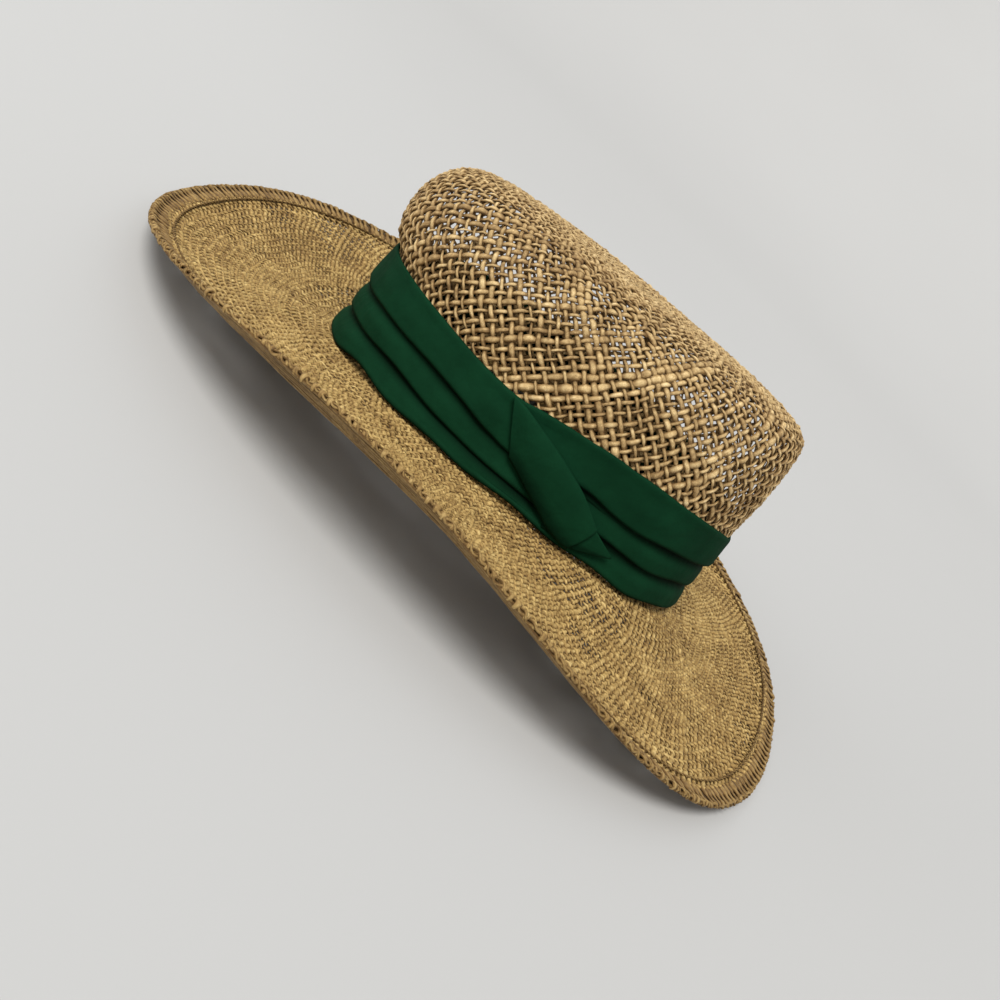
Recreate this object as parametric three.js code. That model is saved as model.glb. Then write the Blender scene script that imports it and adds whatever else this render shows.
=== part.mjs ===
// A woven straw hat with a wide brim, a flat-topped crown and a folded cloth band.
// Units are millimetres. The front of the hat points along -Y, its wearer's left is +X.
// The shapes are worked out in the hat's own frame, whose +Z is the crown's axis, and the
// whole hat is then leaned back to the pose that it takes when its brim rests on a surface.
import * as THREE from 'three';

// Head ring: the oval that the crown stands on, measured to the straw's outer face.
const RING_HALF_LENGTH = 93;
const RING_HALF_WIDTH = 83;
const RING_BACKWARD = 1.7;
// The line where crown and brim meet is arched: it lies higher at the sides.
const JUNCTION_BASE_Z = -2.8;
const JUNCTION_ARCH = 10.7;
const JUNCTION_ARCH_POWER = 1.5;

// Straw and the small gap that separate pieces keep.
const STRAW_WALL = 2.0;
const PIECE_GAP = 0.3;
const SHEET_END_GAP = 0.45;

// Flat top of the crown: a plane that rises a little towards the back and the wearer's left.
const TIP_Z = 92.2;
const TIP_RISE_TO_BACK = 0.012;
const TIP_RISE_TO_LEFT = 0.02;

// Brim edge seen from above: a rounded oval, a little in front of the crown's middle,
// squarer behind than in front and wider behind than in front.
const BRIM_HALF_LENGTH = 175.2;
const BRIM_HALF_WIDTH = 158.8;
const BRIM_FORWARD = 3.1;
const BRIM_SQUARENESS = { front: 2.19, back: 2.25 };
const BRIM_WIDENS_TO_BACK = 0.034;
// Height of the brim's edge round the hat, as waves of the angle from the front.
const EDGE_MEAN_Z = 2.8;
const EDGE_WAVES = [
  { turns: 1, cosine: 14.6, sine: -2.7 },
  { turns: 2, cosine: -12.4, sine: 1.4 },
  { turns: 3, cosine: -1.9, sine: -4.8 },
  { turns: 4, cosine: 1.9, sine: -0.3 },
  { turns: 5, cosine: -0.5, sine: 0 },
];

// Turned edge of the brim.
const HEM_WIDTH = 11.5;
const HEM_THICKNESS = 3.0;
// Section of the turned edge: shares of its width from the sheet, and of half its thickness.
const HEM_SECTION = [
  { run: 0, lift: -0.8 },
  { run: 0.3, lift: -1 },
  { run: 0.87, lift: -1 },
  { run: 0.96, lift: -0.6 },
  { run: 1, lift: 0.2 },
  { run: 0.9, lift: 1 },
  { run: 0.3, lift: 1 },
  { run: 0, lift: 0.8 },
];
// The straw sheet arrives at the turned edge with this share of the edge's slope.
const HEM_LEAN_SHARE = 0.45;
// Slope of the turned edge (degrees, outwards and up) and of the brim where it leaves the crown.
const BRIM_SLOPES = [
  { angle: 0, hemLean: 6, rootSlope: -0.02 },
  { angle: 30, hemLean: 12, rootSlope: -0.05 },
  { angle: 60, hemLean: 31, rootSlope: -0.09 },
  { angle: 80, hemLean: 41, rootSlope: -0.10 },
  { angle: 100, hemLean: 29, rootSlope: -0.12 },
  { angle: 120, hemLean: 17, rootSlope: -0.16 },
  { angle: 150, hemLean: -5, rootSlope: -0.25 },
  { angle: 180, hemLean: -16, rootSlope: -0.30 },
  { angle: 210, hemLean: -6, rootSlope: -0.25 },
  { angle: 240, hemLean: 12, rootSlope: -0.14 },
  { angle: 270, hemLean: 24, rootSlope: -0.10 },
  { angle: 300, hemLean: 24, rootSlope: -0.08 },
  { angle: 330, hemLean: 14, rootSlope: -0.04 },
];

// Crown wall from the brim to the rim of the flat top. Each row is one ring. The offsets run
// outwards from the head ring, at the front, at the sides and at the back.
const CROWN_RINGS = [
  { frontZ: 43.8, front: -0.3, sideZ: 41, side: -1.2, backZ: 36, back: 1.8 },
  { frontZ: 46.8, front: 3.4, sideZ: 49, side: -1.5, backZ: 44, back: 2.1 },
  { frontZ: 53, front: 6.9, sideZ: 56, side: -3.0, backZ: 53, back: 2.2 },
  { frontZ: 61.5, front: 8.0, sideZ: 63, side: -5.6, backZ: 62, back: 2.2 },
  { frontZ: 69, front: 7.0, sideZ: 69.5, side: -9.0, backZ: 70.5, back: 1.6 },
  { frontZ: 76, front: 4.4, sideZ: 75.8, side: -13.4, backZ: 77.5, back: 0.8 },
  { frontZ: 81.2, front: 0.6, sideZ: 81.6, side: -18.6, backZ: 83, back: -0.3 },
  { frontZ: 85.2, front: -4.4, sideZ: 86.2, side: -24.6, backZ: 87.3, back: -2.6 },
  { frontZ: 88.0, front: -11.2, sideZ: 89.6, side: -31.5, backZ: 90.2, back: -8.2 },
  { frontZ: 89.9, front: -23, sideZ: 91.5, side: -41, backZ: 91.7, back: -21 },
];
// The last ring lies in the plane of the flat top.
const TIP_INSET = { front: -40, side: -51, back: -40 };
const END_SHARE_POWER = 2.2;

// Cloth band: heights of its top edge and of the two creases between its three folds.
const BAND_LINES = [
  { angle: 0, top: 43.2, upperCrease: 25.2, lowerCrease: 11.5 },
  { angle: 20, top: 43.6, upperCrease: 25.9, lowerCrease: 13.0 },
  { angle: 40, top: 43.7, upperCrease: 27.9, lowerCrease: 15.6 },
  { angle: 60, top: 43.2, upperCrease: 28.9, lowerCrease: 16.8 },
  { angle: 75, top: 41.9, upperCrease: 27.4, lowerCrease: 16.1 },
  { angle: 84, top: 41.8, upperCrease: 25.3, lowerCrease: 15.4 },
  { angle: 92, top: 44.0, upperCrease: 24.6, lowerCrease: 14.9 },
  { angle: 102, top: 46.2, upperCrease: 27.4, lowerCrease: 14.8 },
  { angle: 110, top: 47.1, upperCrease: 30.0, lowerCrease: 16.5 },
  { angle: 118, top: 47.3, upperCrease: 29.2, lowerCrease: 18.4 },
  { angle: 127, top: 46.8, upperCrease: 28.1, lowerCrease: 17.1 },
  { angle: 140, top: 45, upperCrease: 27.1, lowerCrease: 15.6 },
  { angle: 153, top: 42.4, upperCrease: 26.2, lowerCrease: 14.3 },
  { angle: 180, top: 36.5, upperCrease: 22.5, lowerCrease: 11.2 },
  { angle: 207, top: 42.4, upperCrease: 26.2, lowerCrease: 14.3 },
  { angle: 240, top: 46, upperCrease: 28.6, lowerCrease: 16.8 },
  { angle: 270, top: 46, upperCrease: 29, lowerCrease: 17.3 },
  { angle: 300, top: 44.5, upperCrease: 29, lowerCrease: 16.9 },
  { angle: 320, top: 43.8, upperCrease: 27.9, lowerCrease: 15.6 },
  { angle: 340, top: 43.6, upperCrease: 25.9, lowerCrease: 13.0 },
];
const BAND_FOOT_CLEARANCE = 1.1;
// How far each fold stands off the straw: near its top, at mid-height and at its lip.
const FOLD_SWELL = {
  top: { high: 1.5, middle: 2.4, lip: 2.9 },
  middle: { high: 1.6, middle: 2.4, lip: 2.7 },
  bottom: { high: 1.6, middle: 3.4, lip: 4.3 },
};
const LIP_THICKNESS = 0.9;
const TUCK_UNDER = 1.7;
const TUCK_CLEARANCE = 1.1;
// The folds are pressed thinner where the wrap lies over them.
const PRESS = {
  top: { start: 70, full: 85, release: 117, end: 132, least: 0.5, lipLeast: 0.5 },
  middle: { start: 70, full: 85, release: 124, end: 138, least: 0.52, lipLeast: 0.6 },
  bottom: { start: 68, full: 83, release: 124, end: 138, least: 0.52, lipLeast: 0.66 },
};
const PRESSED_LIP = 1.9;
// Where the fold's section bends: the bead along its top, and shares of its height from the top.
const FOLD_BEAD = { off: 0.7, lift: 0.15 };
const FOLD_HIGH_AT = 0.25;
const FOLD_MIDDLE_AT = 0.62;
const LIP_HEIGHT = 1.0;
const LIP_INSIDE_AT = 0.8;
const FOOT_HEIGHT = 0.4;

// Wrap: the band's top fold turned down over the others on the wearer's left.
const WRAP_EDGES = [
  { share: 0, lowAngle: 92.2, lowZ: 22.9, highAngle: 84.2, highZ: 42.4 },
  { share: 0.15, lowAngle: 95.2, lowZ: 21.0, highAngle: 88.3, highZ: 41.5 },
  { share: 0.3, lowAngle: 98.3, lowZ: 18.7, highAngle: 93.0, highZ: 39.6 },
  { share: 0.45, lowAngle: 101.5, lowZ: 16.3, highAngle: 98.4, highZ: 37.2 },
  { share: 0.6, lowAngle: 104.8, lowZ: 13.8, highAngle: 104.0, highZ: 33.9 },
  { share: 0.75, lowAngle: 108.2, lowZ: 11.2, highAngle: 109.7, highZ: 30.0 },
  { share: 0.9, lowAngle: 112.0, lowZ: 9.5, highAngle: 115.0, highZ: 24.6 },
  { share: 1, lowAngle: 114.7, lowZ: 9.0, highAngle: 117.9, highZ: 21.3 },
];
const WRAP_STAND_OFF = { start: 2.6, end: 3.6 };
const WRAP_EDGE_THICKNESS = 0.9;
const WRAP_CROWN = { start: 0.9, full: 2.1, end: 1.5, risenAt: 0.35, fallsAt: 0.8 };
const WRAP_STEPS = { along: 20, across: 8 };

// Tab: the three-cornered cloth end that comes out below the wrap.
const TAB_CORNERS = [
  { angle: 115.6, z: 9.6 },
  { angle: 126.3, z: 14.7 },
  { angle: 118.4, z: 20.6 },
];
const TAB_STAND_OFF = 3.7;
const TAB_THICKNESS = 1.0;
const TAB_ROWS = 4;
const TAB_BLUNT_SHARE = 0.06;

// Pose in which the brim rests on a surface by itself.
const REST_PITCH_DEG = 3.35;
const REST_ROLL_DEG = -5.81;
const REST_SHIFT = { x: 1.44, y: 2.61, z: 11.18 };

// Segments round the hat.
const CROWN_SEGMENTS = 72;
const BRIM_SEGMENTS = 96;
const BRIM_STEPS = 6;

const STRAW = { color: 0xb8965f, roughness: 0.75, metalness: 0 };
const HEM_STRAW = { color: 0xa58455, roughness: 0.8, metalness: 0 };
const CLOTH = { color: 0x123a27, roughness: 0.9, metalness: 0 };

const radians = THREE.MathUtils.degToRad;

// Smooth closed curve through a table's rows, read at any angle in degrees.
function aroundTable(rows, column, angleDeg) {
  const count = rows.length;
  const turn = ((angleDeg % 360) + 360) % 360;
  let index = count - 1;
  while (index > 0 && rows[index].angle > turn) {
    index -= 1;
  }
  const row = (offset) => rows[(index + offset + count) % count];
  const angleOf = (offset) => row(offset).angle + 360 * Math.floor((index + offset) / count);
  return cubic(turn, [-1, 0, 1, 2].map(angleOf), [-1, 0, 1, 2].map((k) => row(k)[column]));
}

// Smooth open curve through a table's rows, read at any share from 0 to 1.
function alongTable(rows, column, share) {
  let index = rows.length - 2;
  while (index > 0 && rows[index].share > share) {
    index -= 1;
  }
  const clamp = (k) => rows[Math.min(Math.max(index + k, 0), rows.length - 1)];
  const stations = [-1, 0, 1, 2].map((k) => clamp(k).share);
  return cubic(share, stations, [-1, 0, 1, 2].map((k) => clamp(k)[column]));
}

// Hermite curve between the two middle stations, with slopes from their neighbours.
function cubic(at, stations, values) {
  const span = stations[2] - stations[1];
  const t = (at - stations[1]) / span;
  const slope = (k) => (values[k + 1] - values[k - 1]) / (stations[k + 1] - stations[k - 1]) * span;
  const t2 = t * t;
  const t3 = t2 * t;
  return (2 * t3 - 3 * t2 + 1) * values[1] + (t3 - 2 * t2 + t) * slope(1)
    + (3 * t2 - 2 * t3) * values[2] + (t3 - t2) * slope(2);
}

function smoothStep(low, high, value) {
  return THREE.MathUtils.smoothstep(value, low, high);
}

// A point of the head ring's plane, a distance outwards from the ring.
function ringPoint(angle, out) {
  const normal = ringNormal(angle);
  return {
    x: RING_HALF_WIDTH * Math.sin(angle) + out * normal.x,
    y: RING_BACKWARD - RING_HALF_LENGTH * Math.cos(angle) + out * normal.y,
  };
}

function ringNormal(angle) {
  const x = Math.sin(angle) / RING_HALF_WIDTH;
  const y = -Math.cos(angle) / RING_HALF_LENGTH;
  return new THREE.Vector2(x, y).normalize();
}

// Height of the brim's upper face where it meets the crown.
function junctionZ(angle) {
  return JUNCTION_BASE_Z + JUNCTION_ARCH * Math.abs(Math.sin(angle)) ** JUNCTION_ARCH_POWER;
}

// Shares of the front, side and back shapes at an angle. They add up to one.
function endShares(angle) {
  const cosine = Math.cos(angle);
  const front = Math.max(cosine, 0) ** END_SHARE_POWER;
  const back = Math.max(-cosine, 0) ** END_SHARE_POWER;
  return { front, back, side: 1 - front - back };
}

// Height of the flat top's plane.
function tipZ(x, y) {
  return TIP_Z + TIP_RISE_TO_BACK * y + TIP_RISE_TO_LEFT * x;
}

// The crown's outer profile at an angle, as offsets from the head ring and heights.
function crownProfile(angle) {
  const share = endShares(angle);
  const blend = (front, side, back) => share.front * front + share.side * side + share.back * back;
  const profile = [{ out: 0, z: junctionZ(angle) + PIECE_GAP }];
  for (const ring of CROWN_RINGS) {
    profile.push({
      out: blend(ring.front, ring.side, ring.back),
      z: blend(ring.frontZ, ring.sideZ, ring.backZ),
    });
  }
  const inset = blend(TIP_INSET.front, TIP_INSET.side, TIP_INSET.back);
  const rim = ringPoint(angle, inset);
  profile.push({ out: inset, z: tipZ(rim.x, rim.y) });
  return profile;
}

// How far the crown's outer face stands from the head ring at a height.
function crownWallOut(angle, z) {
  const profile = crownProfile(angle);
  for (let k = 1; k < profile.length; k += 1) {
    if (z <= profile[k].z) {
      const t = Math.max((z - profile[k - 1].z) / (profile[k].z - profile[k - 1].z), 0);
      return THREE.MathUtils.lerp(profile[k - 1].out, profile[k].out, t);
    }
  }
  return profile[profile.length - 1].out;
}

// A closed solid from rings of points. Each ring is one closed section. The rings close on
// each other, or the first and the last are capped with a fan.
function sweptSolid(rings, { closed }) {
  const size = rings[0].length;
  const positions = rings.flat().flatMap((p) => [p.x, p.y, p.z]);
  const indices = [];
  const last = closed ? rings.length : rings.length - 1;
  for (let i = 0; i < last; i += 1) {
    const j = (i + 1) % rings.length;
    for (let k = 0; k < size; k += 1) {
      const m = (k + 1) % size;
      indices.push(i * size + k, j * size + k, j * size + m);
      indices.push(i * size + k, j * size + m, i * size + m);
    }
  }
  if (!closed) {
    const end = (rings.length - 1) * size;
    for (let k = 1; k < size - 1; k += 1) {
      indices.push(0, k, k + 1);
      indices.push(end, end + k + 1, end + k);
    }
  }
  return solidGeometry(positions, indices);
}

// Turns the faces outwards where the listed order has them inwards.
function solidGeometry(positions, indices) {
  const at = (k) => new THREE.Vector3().fromArray(positions, 3 * indices[k]);
  let volume = 0;
  for (let k = 0; k < indices.length; k += 3) {
    volume += at(k).dot(at(k + 1).cross(at(k + 2)));
  }
  if (volume < 0) {
    indices.reverse();
  }
  const geometry = new THREE.BufferGeometry();
  geometry.setAttribute('position', new THREE.Float32BufferAttribute(positions, 3));
  geometry.setIndex(indices);
  geometry.computeVertexNormals();
  return geometry;
}

function anglesRound(segments) {
  return Array.from({ length: segments }, (_, k) => (2 * Math.PI * k) / segments);
}

// Crown: an outer and an inner skin that meet along the open foot, each closed at its top.
function makeCrown() {
  const positions = [];
  const indices = [];
  let rows = 0;
  for (const angle of anglesRound(CROWN_SEGMENTS)) {
    const outer = crownProfile(angle);
    const last = outer.length - 1;
    const inner = outer.map((point, k) => {
      const before = outer[Math.max(k - 1, 0)];
      const after = outer[Math.min(k + 1, last)];
      const slope = new THREE.Vector2(after.out - before.out, after.z - before.z).normalize();
      const normal = { out: slope.y, z: -slope.x };
      if (k === 0) {
        return { out: point.out - STRAW_WALL, z: point.z };
      }
      if (k === last) {
        return { out: point.out, z: point.z - STRAW_WALL };
      }
      return { out: point.out - STRAW_WALL * normal.out, z: point.z - STRAW_WALL * normal.z };
    });
    const section = [...outer, ...inner.reverse()];
    rows = section.length;
    for (const point of section) {
      const plan = ringPoint(angle, point.out);
      positions.push(plan.x, plan.y, point.z);
    }
  }
  const outerPole = positions.length / 3;
  const poleZ = tipZ(0, RING_BACKWARD);
  positions.push(0, RING_BACKWARD, poleZ);
  positions.push(0, RING_BACKWARD, poleZ - STRAW_WALL);
  for (let i = 0; i < CROWN_SEGMENTS; i += 1) {
    const j = (i + 1) % CROWN_SEGMENTS;
    for (let k = 0; k < rows; k += 1) {
      const m = (k + 1) % rows;
      if (k === rows / 2 - 1) {
        indices.push(i * rows + k, j * rows + k, outerPole);
        indices.push(i * rows + m, outerPole + 1, j * rows + m);
      } else {
        indices.push(i * rows + k, j * rows + k, j * rows + m);
        indices.push(i * rows + k, j * rows + m, i * rows + m);
      }
    }
  }
  return solidGeometry(positions, indices);
}

// Middle of the turned edge's rim at an angle.
function edgePoint(angle) {
  const cosine = Math.cos(angle);
  const sine = Math.sin(angle);
  const backShare = (1 - Math.sin((Math.PI / 2) * cosine)) / 2;
  const power = THREE.MathUtils.lerp(BRIM_SQUARENESS.front, BRIM_SQUARENESS.back, backShare);
  const reach = (Math.abs(cosine) ** power + Math.abs(sine) ** power) ** (-1 / power);
  let z = EDGE_MEAN_Z;
  for (const wave of EDGE_WAVES) {
    z += wave.cosine * Math.cos(wave.turns * angle) + wave.sine * Math.sin(wave.turns * angle);
  }
  return new THREE.Vector3(
    BRIM_HALF_WIDTH * (1 - BRIM_WIDENS_TO_BACK * cosine) * sine * reach,
    -BRIM_FORWARD - BRIM_HALF_LENGTH * cosine * reach,
    z,
  );
}

// The brim's section at an angle: where it starts and ends, and its direction outwards.
function brimFrame(angle) {
  const plan = ringPoint(angle, -STRAW_WALL);
  const root = new THREE.Vector3(plan.x, plan.y, junctionZ(angle) - STRAW_WALL / 2);
  const edge = edgePoint(angle);
  const outwards = new THREE.Vector3(edge.x - root.x, edge.y - root.y, 0).normalize();
  const degrees = THREE.MathUtils.radToDeg(angle);
  const lean = radians(aroundTable(BRIM_SLOPES, 'hemLean', degrees));
  const rootSlope = aroundTable(BRIM_SLOPES, 'rootSlope', degrees);
  const hemRun = new THREE.Vector3(0, 0, Math.sin(lean)).addScaledVector(outwards, Math.cos(lean));
  const fold = edge.clone().addScaledVector(hemRun, -HEM_WIDTH);
  return { root, edge, outwards, lean, rootSlope, fold };
}

// Middle line of the brim's straw sheet at an angle, and its upward normal.
function brimStation(frame, share) {
  const length = Math.hypot(frame.fold.x - frame.root.x, frame.fold.y - frame.root.y);
  const startSlope = frame.rootSlope * length;
  const endSlope = Math.tan(frame.lean * HEM_LEAN_SHARE) * length;
  const s2 = share * share;
  const s3 = s2 * share;
  const z = (2 * s3 - 3 * s2 + 1) * frame.root.z + (s3 - 2 * s2 + share) * startSlope
    + (3 * s2 - 2 * s3) * frame.fold.z + (s3 - s2) * endSlope;
  const rise = (6 * s2 - 6 * share) * (frame.root.z - frame.fold.z)
    + (3 * s2 - 4 * share + 1) * startSlope + (3 * s2 - 2 * share) * endSlope;
  const point = new THREE.Vector3().lerpVectors(frame.root, frame.fold, share).setZ(z);
  const along = frame.outwards.clone().multiplyScalar(length).setZ(rise).normalize();
  const side = new THREE.Vector3(-frame.outwards.y, frame.outwards.x, 0);
  const normal = new THREE.Vector3().crossVectors(along, side).normalize();
  return { point, normal };
}

function makeBrim() {
  const rings = anglesRound(BRIM_SEGMENTS).map((angle) => {
    const frame = brimFrame(angle);
    const lastShare = 1 - SHEET_END_GAP / frame.root.distanceTo(frame.fold);
    const stations = Array.from({ length: BRIM_STEPS + 1 }, (_, k) => {
      return brimStation(frame, (k / BRIM_STEPS) * lastShare);
    });
    const upper = stations.map((s) => s.point.clone().addScaledVector(s.normal, STRAW_WALL / 2));
    const lower = stations.map((s) => s.point.clone().addScaledVector(s.normal, -STRAW_WALL / 2));
    return [...upper, ...lower.reverse()];
  });
  return sweptSolid(rings, { closed: true });
}

// Hem: a flat oval section from the end of the straw sheet to the rim.
function makeHem() {
  const rings = anglesRound(BRIM_SEGMENTS).map((angle) => {
    const frame = brimFrame(angle);
    const along = new THREE.Vector3().subVectors(frame.edge, frame.fold).normalize();
    const side = new THREE.Vector3(-frame.outwards.y, frame.outwards.x, 0);
    const normal = new THREE.Vector3().crossVectors(along, side).normalize();
    return HEM_SECTION.map((corner) => frame.fold.clone()
      .addScaledVector(along, THREE.MathUtils.lerp(PIECE_GAP, HEM_WIDTH, corner.run))
      .addScaledVector(normal, (corner.lift * HEM_THICKNESS) / 2));
  });
  return sweptSolid(rings, { closed: true });
}

// Share of its full swell that a fold keeps at an angle, where least is its thinnest share.
function pressedShare(press, least, degrees) {
  const into = smoothStep(press.start, press.full, degrees);
  const outOf = smoothStep(press.release, press.end, degrees);
  return 1 - (1 - least) * (into - outOf);
}

// One fold of the band: a hanging pleat whose lip covers the top of the fold below.
function makeFold(name, topLine, bottomLine, hasFoldBelow) {
  const swell = FOLD_SWELL[name];
  const rings = anglesRound(CROWN_SEGMENTS).map((angle) => {
    const degrees = THREE.MathUtils.radToDeg(angle);
    const press = pressedShare(PRESS[name], PRESS[name].least, degrees);
    const lipPress = pressedShare(PRESS[name], PRESS[name].lipLeast, degrees);
    const top = topLine(degrees);
    const bottom = bottomLine(degrees);
    const height = top - bottom;
    const backTop = hasFoldBelow ? TUCK_UNDER + TUCK_CLEARANCE : FOOT_HEIGHT;
    const lip = Math.max(swell.lip * lipPress, PRESSED_LIP);
    const section = [
      { off: 0, z: top },
      { off: FOLD_BEAD.off * press, z: top + FOLD_BEAD.lift },
      { off: swell.high * press, z: top - FOLD_HIGH_AT * height },
      { off: swell.middle * press, z: top - FOLD_MIDDLE_AT * height },
      { off: lip, z: bottom + LIP_HEIGHT },
      { off: lip - LIP_THICKNESS, z: bottom },
      { off: lip - LIP_THICKNESS, z: bottom + LIP_INSIDE_AT * backTop },
      { off: 0, z: bottom + backTop },
    ];
    return section.map((corner) => {
      const out = crownWallOut(angle, corner.z) + PIECE_GAP + corner.off;
      const plan = ringPoint(angle, out);
      return new THREE.Vector3(plan.x, plan.y, corner.z);
    });
  });
  return sweptSolid(rings, { closed: true });
}

function bandFoot(degrees) {
  return junctionZ(radians(degrees)) + BAND_FOOT_CLEARANCE;
}

function bandLine(column, lift) {
  return (degrees) => aroundTable(BAND_LINES, column, degrees) + lift;
}

// A point over the band, a distance off the crown's face.
function overBand(degrees, z, off) {
  const angle = radians(degrees);
  const plan = ringPoint(angle, crownWallOut(angle, z) + off);
  return new THREE.Vector3(plan.x, plan.y, z);
}

// Wrap: a flattened roll with a rounded outer face.
function makeWrap() {
  const rings = [];
  for (let i = 0; i <= WRAP_STEPS.along; i += 1) {
    const share = i / WRAP_STEPS.along;
    const edge = (column) => alongTable(WRAP_EDGES, column, share);
    const low = { angle: edge('lowAngle'), z: edge('lowZ') };
    const high = { angle: edge('highAngle'), z: edge('highZ') };
    const inner = THREE.MathUtils.lerp(WRAP_STAND_OFF.start, WRAP_STAND_OFF.end, share);
    const risen = (WRAP_CROWN.full - WRAP_CROWN.start) * smoothStep(0, WRAP_CROWN.risenAt, share);
    const fallen = (WRAP_CROWN.full - WRAP_CROWN.end) * smoothStep(WRAP_CROWN.fallsAt, 1, share);
    const rise = WRAP_CROWN.start + risen - fallen;
    const at = (across, off) => overBand(
      THREE.MathUtils.lerp(low.angle, high.angle, across),
      THREE.MathUtils.lerp(low.z, high.z, across),
      off,
    );
    const outerFace = [];
    const innerFace = [];
    for (let k = 0; k <= WRAP_STEPS.across; k += 1) {
      const across = k / WRAP_STEPS.across;
      const swell = rise * Math.sqrt(Math.max(1 - (2 * across - 1) ** 2, 0));
      outerFace.push(at(across, inner + WRAP_EDGE_THICKNESS + swell));
      innerFace.push(at(across, inner));
    }
    rings.push([...outerFace, ...innerFace.reverse()]);
  }
  return sweptSolid(rings, { closed: false });
}

// Tab: a flat three-cornered end, cut into rows so that it follows the band.
function makeTab() {
  const [lowCorner, point, highCorner] = TAB_CORNERS;
  const rings = [];
  for (let i = 0; i <= TAB_ROWS; i += 1) {
    const share = (i / TAB_ROWS) * (1 - TAB_BLUNT_SHARE);
    const toPoint = (corner) => ({
      angle: THREE.MathUtils.lerp(corner.angle, point.angle, share),
      z: THREE.MathUtils.lerp(corner.z, point.z, share),
    });
    const low = toPoint(lowCorner);
    const high = toPoint(highCorner);
    const middle = { angle: (low.angle + high.angle) / 2, z: (low.z + high.z) / 2 };
    const line = [low, middle, high];
    const outer = line.map((p) => overBand(p.angle, p.z, TAB_STAND_OFF + TAB_THICKNESS));
    const inner = line.map((p) => overBand(p.angle, p.z, TAB_STAND_OFF));
    rings.push([...outer, ...inner.reverse()]);
  }
  return sweptSolid(rings, { closed: false });
}

function piece(name, geometry, look) {
  const mesh = new THREE.Mesh(geometry, new THREE.MeshStandardMaterial(look));
  mesh.name = name;
  return mesh;
}

const hat = new THREE.Group();
const topFold = makeFold('top', bandLine('top', 0), bandLine('upperCrease', 0), true);
const middleTop = bandLine('upperCrease', TUCK_UNDER);
const middleFold = makeFold('middle', middleTop, bandLine('lowerCrease', 0), true);
const bottomFold = makeFold('bottom', bandLine('lowerCrease', TUCK_UNDER), bandFoot, false);
hat.add(piece('crown', makeCrown(), STRAW));
hat.add(piece('brim', makeBrim(), STRAW));
hat.add(piece('brim_hem', makeHem(), HEM_STRAW));
hat.add(piece('band_fold_top', topFold, CLOTH));
hat.add(piece('band_fold_middle', middleFold, CLOTH));
hat.add(piece('band_fold_bottom', bottomFold, CLOTH));
hat.add(piece('band_wrap', makeWrap(), CLOTH));
hat.add(piece('band_tab', makeTab(), CLOTH));

hat.rotation.set(radians(REST_PITCH_DEG), radians(REST_ROLL_DEG), 0);
hat.position.set(REST_SHIFT.x, REST_SHIFT.y, REST_SHIFT.z);

export default hat;
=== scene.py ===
# Dresses a straw hat: open bias-woven crown, close bias-woven brim, bound hem, folded cloth band.
# The shapes are worked out in the hat's own frame, in millimetres, as its solids are. The points
# are then leaned back to the resting pose and turned to metres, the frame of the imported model.
import math

import bpy
import numpy as np
from bpy.props import FloatProperty, FloatVectorProperty, IntProperty, PointerProperty
from mathutils import Matrix, Vector


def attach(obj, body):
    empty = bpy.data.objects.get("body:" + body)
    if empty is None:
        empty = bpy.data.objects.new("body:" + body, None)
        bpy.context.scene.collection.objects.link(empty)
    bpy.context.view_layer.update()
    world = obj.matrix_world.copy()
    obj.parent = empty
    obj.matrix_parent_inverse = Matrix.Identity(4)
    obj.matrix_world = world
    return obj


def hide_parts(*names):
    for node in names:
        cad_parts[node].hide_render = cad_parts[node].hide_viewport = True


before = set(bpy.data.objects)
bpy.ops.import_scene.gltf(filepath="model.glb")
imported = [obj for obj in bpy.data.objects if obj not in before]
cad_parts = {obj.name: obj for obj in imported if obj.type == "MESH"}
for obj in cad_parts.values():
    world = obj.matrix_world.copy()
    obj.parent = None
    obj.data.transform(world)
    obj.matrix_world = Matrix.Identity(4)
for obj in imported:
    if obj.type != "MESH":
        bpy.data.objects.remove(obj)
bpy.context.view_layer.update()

bl_info = {
    "name": "Woven straw hat",
    "version": (1, 0, 0),
    "blender": (4, 5, 0),
    "location": "View3D > Sidebar > Straw hat",
    "description": "Weaves, binds and bands a wide-brimmed straw hat over its solids",
    "category": "Object",
}

MM = 0.001
TURN = 2 * math.pi


def table(columns, *rows):
    """A short table with named columns, one row for each section."""
    return dict(zip(columns.split(), np.array(rows, float).T))


# Head ring and the arched line where the brim leaves the crown.
RING_HALF_LENGTH = 93.0
RING_HALF_WIDTH = 83.0
RING_BACKWARD = 1.7
JUNCTION_BASE = -2.8
JUNCTION_ARCH = 10.7
JUNCTION_ARCH_POWER = 1.5
STRAW_WALL = 2.0
PIECE_GAP = 0.3

# Flat top of the crown.
TIP_HEIGHT = 92.2
TIP_RISE_TO_BACK = 0.012
TIP_RISE_TO_LEFT = 0.02
TIP_INSET = {"front": -40.0, "side": -51.0, "back": -40.0}
END_SHARE_POWER = 2.2

# Crown wall, ring by ring: heights, and offsets outwards from the head ring.
CROWN_RINGS = table(
    "front_z front side_z side back_z back",
    (43.8, -0.3, 41, -1.2, 36, 1.8),
    (46.8, 3.4, 49, -1.5, 44, 2.1),
    (53, 6.9, 56, -3.0, 53, 2.2),
    (61.5, 8.0, 63, -5.6, 62, 2.2),
    (69, 7.0, 69.5, -9.0, 70.5, 1.6),
    (76, 4.4, 75.8, -13.4, 77.5, 0.8),
    (81.2, 0.6, 81.6, -18.6, 83, -0.3),
    (85.2, -4.4, 86.2, -24.6, 87.3, -2.6),
    (88.0, -11.2, 89.6, -31.5, 90.2, -8.2),
    (89.9, -23, 91.5, -41, 91.7, -21),
)

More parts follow.
